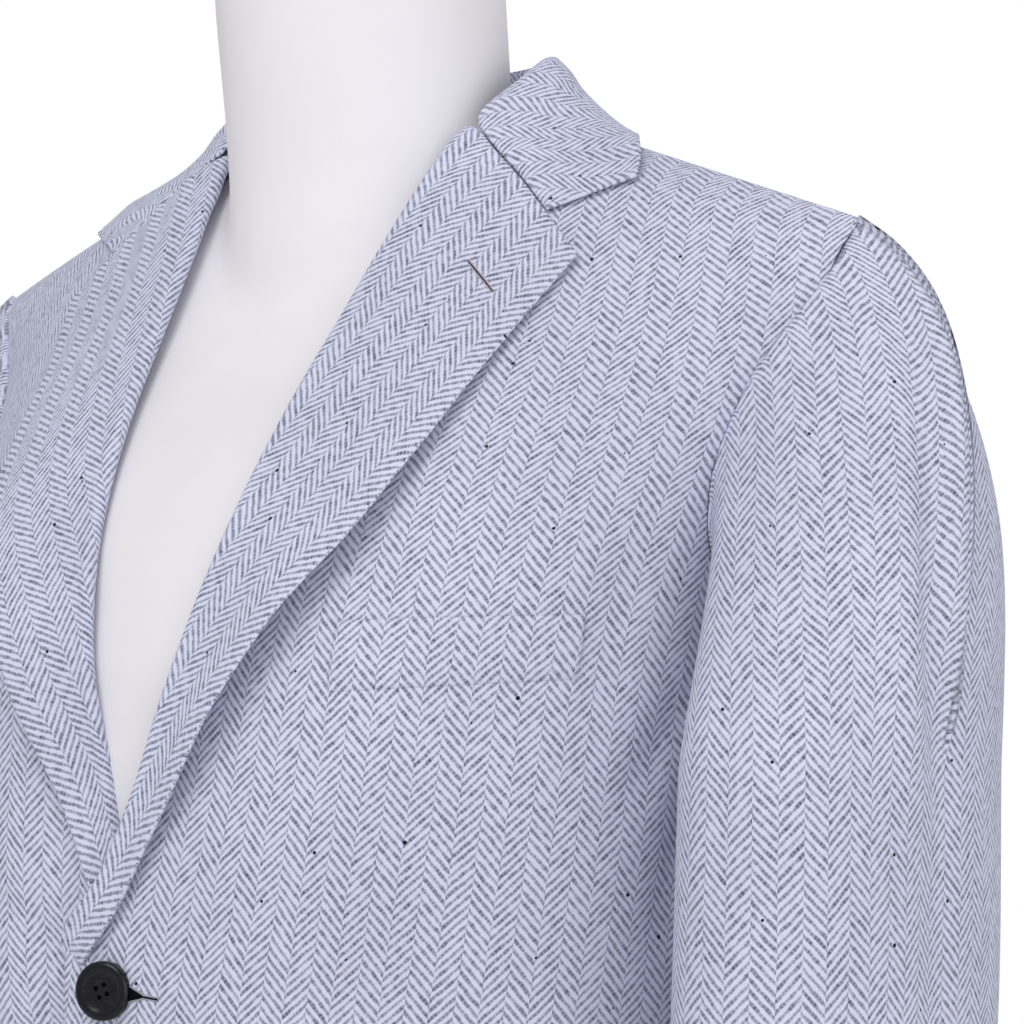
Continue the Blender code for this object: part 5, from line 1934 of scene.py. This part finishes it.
@dataclass
class Buttonholes:
    """Worked buttonholes: a stitched lip, flatter than it is wide, round a dark slit."""

    panels: Panels
    lapels: Lapels
    lip: float = 0.0004
    lip_flat: float = 0.75
    above: float = 0.0001
    hole_length: float = 0.0235
    lapel_slit_down: float = 0.90
    lapel_slit_across: tuple[float, float] = (0.57, 0.81)

    def lip_round(
        self, name: str, line: Grid, facing: Grid, half: Grid, radius: float
    ) -> Piece:
        """Makes a closed stitched cord that runs round a slit.

        Args:
            name: Its name.
            line: The slit's middle line, on the cloth.
            facing: The cloth's outward directions along it.
            half: Half the slit's width along it.
            radius: The cord's radius.

        Returns:
            The lip.
        """
        beside = np.cross(facing, unit(np.gradient(line, axis=0)))
        offset = (half + radius)[:, None]
        path = np.concatenate([line + beside * offset, (line - beside * offset)[::-1]])
        lift = np.concatenate([facing, facing[::-1]])
        across = np.cross(lift, unit(np.roll(path, -1, axis=0) - np.roll(path, 1, axis=0)))
        turn = np.linspace(0, FULL_TURN, 9)[:-1, None]
        ring = np.cos(turn) * across[:, None] + np.sin(turn) * self.lip_flat * lift[:, None]
        points = path[:, None] + ring * radius
        count, sides = points.shape[:2]
        length = np.concatenate([[0], np.cumsum(length_of(np.diff(path, axis=0)))])
        mesh = bpy.data.meshes.new(name)
        faces = []
        for i in range(count):
            here, there = i * sides, (i + 1) % count * sides
            faces += [
                (here + j, here + (j + 1) % sides, there + (j + 1) % sides, there + j)
                for j in range(sides)
            ]
        mesh.from_pydata(points.reshape(-1, 3).tolist(), [], faces)
        layer = mesh.uv_layers.new(name=GRAIN)
        for loop in mesh.loops:
            station, side = divmod(loop.vertex_index, sides)
            layer.data[loop.index].uv = (length[station], side * radius)
        piece = bpy.data.objects.new(name, mesh)
        bpy.context.scene.collection.objects.link(piece)
        only(piece)
        bpy.ops.object.mode_set(mode="EDIT")
        bpy.ops.mesh.select_all(action="SELECT")
        bpy.ops.mesh.normals_make_consistent(inside=False)
        bpy.ops.object.mode_set(mode="OBJECT")
        mesh.shade_smooth()
        return piece

    def slit(self, name: str, line: Grid, facing: Grid, half: Grid, lift: float) -> Piece:
        """Makes the dark opening between the lips: a near-black sliver over the cloth, painted shade in
        the slit.
        """
        beside = np.cross(facing, unit(np.gradient(line, axis=0)))
        across = np.linspace(-1, 1, 7)
        crown = lift * (1 - 0.8 * across**2)
        offset = (half[:, None] * across)[..., None]
        places = line[:, None] - beside[:, None] * offset + facing[:, None] * crown[:, None]
        return wall(name, places, lengths_over(places), self.lip)

    def make_body_hole(
        self, wardrobe: Wardrobe, name: str, height: float, gape: float, slant: float
    ) -> None:
        """Makes a buttonhole on the left front, which starts under its button.

        Args:
            wardrobe: The finishes.
            name: The buttonhole's name.
            height: The button's height.
            gape: Half the slit's width beside the button.
            slant: How far the slit's end drops.
        """
        t = np.linspace(0, 1, 26)
        x, z = 0.004 + self.hole_length * t, height + slant * t
        theta, level = self.panels.body.on_front(x, z)
        line = self.panels.skin(Side.LEFT, theta, level, self.above)
        facing = self.panels.body.normal(theta, level)
        half = 0.00012 + gape * np.clip(1 - t / 0.72, 0, 1) ** 0.9
        # the slit is a near-black sliver: painted shade in the buttonhole's opening
        opening = self.slit(f"{name}_slit", line, facing, half, 0.0005)
        wardrobe.take(opening, wardrobe.painted_slit_shade, "horn")
        lips = self.lip_round(f"{name}_lip", line, facing, half, self.lip)
        wardrobe.take(lips, wardrobe.grey_thread, "tweed")

    def make_lapel_hole(self, wardrobe: Wardrobe) -> None:
        """Makes the closed buttonhole near the left lapel's notch."""
        t = np.linspace(0, 1, 20)
        first, last = self.lapel_slit_across
        cloth = self.lapels.at(Side.LEFT, np.linspace(0, 1, 101), first + (last - first) * t)
        row = round(100 * self.lapel_slit_down)
        facing = normals(cloth)[row]
        half = np.full(20, 0.00010) + 0.00016 * np.sin(math.pi * t)
        middle = cloth[row] + facing * self.above
        # the slit is a near-black sliver: painted shade in the buttonhole's opening
        opening = self.slit("lapel_hole_slit", middle, facing, half, 0.0004)
        wardrobe.take(opening, wardrobe.painted_slit_shade, "horn")
        lips = self.lip_round("lapel_hole_lip", middle, facing, half, self.lip * 0.8)
        wardrobe.take(lips, wardrobe.rose_thread, "tweed")


# -------- buttons


@dataclass
class Buttons:
    """Turned four-hole buttons with a raised rim, a dished middle and a thread shank."""

    panels: Panels
    sleeves: Sleeves
    radius: float = 0.0110
    cuff_radius: float = 0.0075
    shank: float = 0.0026
    seam_gap: float = 0.0005
    button_x: float = 0.003
    front_height: float = 0.519
    lower_height: float = 0.414
    lean: float = math.radians(16.0)
    spin: float = math.radians(24.0)
    cuff_heights: tuple[float, ...] = (0.208, 0.226, 0.244)
    cuff_turn: float = math.radians(-104.0)
    # a broad raised rim, then an inner ring, then the dished middle: insets and rises, as shares of
    # the radius and of the thickness
    rim_steps: tuple[tuple[float, float], ...] = (
        (0.07, 0.20), (0.10, 0.06), (0.12, -0.10), (0.10, -0.16), (0.06, -0.02), (0.05, 0.05),
        (0.10, -0.03),
    )

    def turned(self, name: str, radius: float) -> Piece:
        """Turns one button that faces up, from a cylinder.

        Args:
            name: Its name.
            radius: Its radius.

        Returns:
            The button, round its own axis.
        """
        thick = 0.36 * radius
        button = cylinder(radius * 0.985, 0.0, thick * 0.8, 64)
        button.name = button.data.name = name
        bpy.ops.object.mode_set(mode="EDIT")
        pick_faces(button, lambda face: face.normal.z > 0.9)
        for inset, rise in self.rim_steps:
            bpy.ops.mesh.inset(thickness=radius * inset)
            bpy.ops.transform.translate(value=(0, 0, thick * rise))
        pick_faces(button, lambda face: face.normal.z < -0.9)
        bpy.ops.mesh.inset(thickness=radius * 0.12)
        bpy.ops.transform.translate(value=(0, 0, -thick * 0.12))
        bpy.ops.object.mode_set(mode="OBJECT")
        for number in range(4):
            self.drill(button, radius, thick, math.pi / 4 + number * math.pi / 2)
        bevel(button, radius * 0.035, 2, 40.0)
        self.add_shank(button, radius, thick)
        only(button)
        bpy.ops.object.shade_smooth_by_angle(angle=math.radians(42))
        return button

    def drill(self, button: Piece, radius: float, thick: float, angle: float) -> None:
        """Drills one thread hole through a button."""
        x, y = radius * 0.22 * math.cos(angle), radius * 0.22 * math.sin(angle)
        drill = cylinder(radius * 0.088, -thick, 2 * thick, 18, x, y)
        finish_with(button, "BOOLEAN", operation="DIFFERENCE", object=drill, solver="EXACT")
        bpy.data.objects.remove(drill, do_unlink=True)

    def add_shank(self, button: Piece, radius: float, thick: float) -> None:
        """Winds the thread shank behind a button, and joins it to the button."""
        length, top = self.shank + 0.5 * thick, thick * 0.3
        shank = cylinder(radius * 0.20, top - length, top, 20)
        bpy.ops.object.mode_set(mode="EDIT")
        bpy.ops.mesh.select_all(action="SELECT")
        bpy.ops.mesh.subdivide(number_cuts=5)
        bpy.ops.object.mode_set(mode="OBJECT")
        for point in shank.data.vertices:
            waist = 1 + 0.10 * math.cos(point.co.z / length * 9 * math.pi)
            point.co.x *= waist
            point.co.y *= waist
        settle(shank)
        only(button)
        shank.select_set(True)
        bpy.ops.object.join()

    def seat(self, button: Piece, place: Grid, facing: Grid, spin: float = 0.0) -> None:
        """Puts a button with the end of its shank on the cloth.

        Args:
            button: The button.
            place: A point of the cloth.
            facing: The way the button faces.
            spin: How far it is turned in its own plane.
        """
        way = Vector(tuple(facing)).normalized()
        turn = way.to_track_quat("Z", "Y").to_matrix().to_4x4() @ Matrix.Rotation(spin, 4, "Z")
        middle = Vector(tuple(place)) + way * (self.shank + self.seam_gap)
        button.matrix_world = Matrix.Translation(middle) @ turn
        settle(button)

    def make(self, wardrobe: Wardrobe) -> None:
        """Makes the two front buttons and three on each cuff."""
        body = self.panels.body
        for name, node, height, lean in (
            ("horn_button_front", "button_front", self.front_height, self.lean),
            ("horn_button_lower", "button_lower", self.lower_height, 0.0),
        ):
            theta, level = body.on_front(self.button_x, height)
            facing = Vector(tuple(body.normal(theta, level))) @ Matrix.Rotation(-lean, 3, "Z")
            button = self.turned(name, self.radius)
            self.seat(button, body.at(theta, level), np.array(facing), self.spin)
            wardrobe.take(button, wardrobe.horn, "horn", node)
        armpit, cuff = self.sleeves.rings[0].height, self.sleeves.rings[-1].height
        for side in Side:
            flip = np.array([side.value, 1, 1])
            for number, height in enumerate(self.cuff_heights, 1):
                turn = np.array(self.cuff_turn)
                down = np.array(1 + (armpit - height) / (armpit - cuff))
                button = self.turned(side.node(f"horn_cuff_button_{number}"), self.cuff_radius)
                facing = self.sleeves.plain_normal(turn, down) * flip
                self.seat(button, self.sleeves.at(side, turn, down) * flip, facing, 0.5 * number)
                wardrobe.take(button, wardrobe.horn, "horn", side.node(f"cuff_button_{number}"))


# -------- dress form


@dataclass
class DressForm:
    """The limbless form's smooth torso and neck, and the pole and base that it stands on."""

    voxel: float = 0.005
    base_radius: float = 0.165
    base_thickness: float = 0.016
    pole_radius: float = 0.015
    flange_radius: float = 0.045
    foot: float = 0.1677

    def make_torso(self) -> Piece:
        """Smooths a copy of the frame's torso into one skin.

        Returns:
            The torso.
        """
        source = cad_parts["form_torso"]
        source = source if isinstance(source, Piece) else bpy.data.objects["form_torso"]
        torso = bpy.data.objects.new("smooth_torso", source.data.copy())
        bpy.context.scene.collection.objects.link(torso)
        only(torso)
        bpy.ops.object.mode_set(mode="EDIT")
        bpy.ops.mesh.select_all(action="SELECT")
        bpy.ops.mesh.remove_doubles(threshold=1e-5)
        bpy.ops.object.mode_set(mode="OBJECT")
        torso.data.remesh_voxel_size = self.voxel
        bpy.ops.object.voxel_remesh()
        finish_with(torso, "SMOOTH", factor=0.5, iterations=10)
        torso.data.shade_smooth()
        return torso

    def disc(self, radius: float, low: float, high: float, rounding: float) -> Piece:
        """Turns one bevelled disc or rod of the stand."""
        disc = cylinder(radius, low, high, 96)
        settle(disc)
        if rounding:
            bevel(disc, rounding, 4, 50.0)
        return disc

    def make_stand(self) -> Piece:
        """Joins the base, collar, pole and flange.

        Returns:
            The stand.
        """
        top = self.base_thickness
        base = self.disc(self.base_radius, 0.0, top, 0.005)
        parts = [
            self.disc(self.pole_radius + 0.010, top - 0.002, top + 0.012, 0.004),
            self.disc(self.pole_radius, top, self.foot - 0.006, 0.0),
            self.disc(self.pole_radius + 0.006, self.foot - 0.024, self.foot - 0.006, 0.003),
            self.disc(self.flange_radius, self.foot - 0.008, self.foot, 0.003),
        ]
        only(base)
        for part in parts:
            part.select_set(True)
        bpy.ops.object.join()
        base.name = base.data.name = "steel_stand"
        bpy.ops.object.shade_smooth_by_angle(angle=math.radians(35))
        return base

    def make(self, wardrobe: Wardrobe) -> None:
        """Makes the torso and the stand."""
        wardrobe.take(self.make_torso(), wardrobe.cover, "form_cover", "form_torso")
        wardrobe.take(self.make_stand(), wardrobe.steel, "stand_metal", "form_stand")


# -------- studio


@dataclass(frozen=True)
class Lamp:
    """A soft square lamp that looks at the chest."""

    name: str
    azimuth: float
    elevation: float
    distance: float
    size: float
    power: float
    colour: Colour = (1.0, 1.0, 1.0)

    def make(self, target: Vector) -> None:
        """Hangs the lamp round a target."""
        azimuth, elevation = math.radians(self.azimuth), math.radians(self.elevation)
        level = math.cos(elevation)
        way = Vector((math.sin(azimuth) * level, -math.cos(azimuth) * level, math.sin(elevation)))
        light = bpy.data.lights.new(self.name, "AREA")
        light.shape = "SQUARE"
        light.size = self.size
        light.energy = self.power
        light.color = self.colour
        lamp = bpy.data.objects.new(self.name, light)
        lamp.location = target + way * self.distance
        lamp.rotation_mode = "QUATERNION"
        lamp.rotation_quaternion = way.to_track_quat("Z", "Y")
        bpy.context.scene.collection.objects.link(lamp)


@dataclass
class Studio:
    """The camera at the photograph's angle, the soft lamps, the white surround and the floor."""

    azimuth: float = math.radians(37.0)
    elevation: float = math.radians(-2.5)
    distance: float = 1.30
    aim_height: float = 0.700
    aim_right: float = 0.059
    lens: float = 111.97
    sensor: float = 36.0
    surround: float = 0.50
    lamps: tuple[Lamp, ...] = (
        Lamp("key", 10.0, 42.0, 2.2, 1.3, 17.0),
        Lamp("fill", 54.0, 4.0, 2.6, 1.6, 12.0),
        Lamp("side", 112.0, 15.0, 2.6, 1.6, 7.0),
        Lamp("rim", 215.0, 35.0, 2.4, 1.4, 5.0),
    )

    def make_camera(self) -> None:
        """Sets the camera up where the photograph was taken from."""
        right = Vector((math.cos(self.azimuth), math.sin(self.azimuth), 0.0))
        level = math.cos(self.elevation)
        ahead = Vector((
            -math.sin(self.azimuth) * level, math.cos(self.azimuth) * level, -math.sin(self.elevation),
        ))
        aim = Vector((0.0, 0.0, self.aim_height)) + self.aim_right * right
        lens = bpy.data.cameras.new("camera")
        lens.lens, lens.sensor_width = self.lens, self.sensor
        lens.clip_start, lens.clip_end = 0.05, 50.0
        camera = bpy.data.objects.new("camera", lens)
        camera.location = aim - self.distance * ahead
        camera.rotation_mode = "QUATERNION"
        camera.rotation_quaternion = ahead.to_track_quat("-Z", "Y")
        bpy.context.scene.collection.objects.link(camera)
        bpy.context.scene.camera = camera

    def make_surround(self) -> None:
        """Lights the scene evenly from all round with white."""
        world = bpy.data.worlds.new("white_surround")
        world.use_nodes = True
        tree = world.node_tree
        backdrop = tree.nodes["Background"]
        backdrop.inputs["Color"].default_value = (1.0, 1.0, 1.0, 1.0)
        seen = tree.nodes.new("ShaderNodeLightPath")
        strength = tree.nodes.new("ShaderNodeMapRange")
        strength.inputs["To Min"].default_value = self.surround
        strength.inputs["To Max"].default_value = 1.0
        tree.links.new(seen.outputs["Is Camera Ray"], strength.inputs["Value"])
        tree.links.new(strength.outputs["Result"], backdrop.inputs["Strength"])
        bpy.context.scene.world = world
        bpy.context.scene.view_settings.view_transform = "Standard"

    def make_floor(self) -> None:
        """Lays a round pale floor under the stand."""
        bpy.ops.object.select_all(action="DESELECT")
        place = (0, 0, -0.0005)
        bpy.ops.mesh.primitive_circle_add(vertices=96, radius=4.0, fill_type="NGON", location=place)
        floor = bpy.context.object
        floor.name = floor.data.name = "floor"
        settle(floor)
        floor.data.materials.append(PaleFloor().make())

    def make(self) -> None:
        """Sets up the camera, the surround, the lamps and the floor."""
        self.make_camera()
        self.make_surround()
        for lamp in self.lamps:
            lamp.make(Vector((0.0, 0.0, self.aim_height)))
        self.make_floor()


def main() -> None:
    """Dresses the frame, piece by piece."""
    logging.basicConfig(level=logging.INFO, format="%(name)s: %(message)s")
    Studio().make()
    wardrobe = Wardrobe()
    panels = Panels()
    panels.make(wardrobe)
    lapels = Lapels(panels)
    lapels.make(wardrobe)
    Collar(lapels).make(wardrobe)
    sleeves = Sleeves(panels)
    sleeves.make(wardrobe)
    Pockets(panels).make(wardrobe)
    buttons = Buttons(panels, sleeves)
    buttons.make(wardrobe)
    holes = Buttonholes(panels, lapels)
    holes.make_body_hole(wardrobe, "front_hole", buttons.front_height, 0.0052, -0.0020)
    holes.make_body_hole(wardrobe, "lower_hole", buttons.lower_height, 0.0004, 0.0)
    holes.make_lapel_hole(wardrobe)
    DressForm().make(wardrobe)


if __name__ == "__main__":
    main()
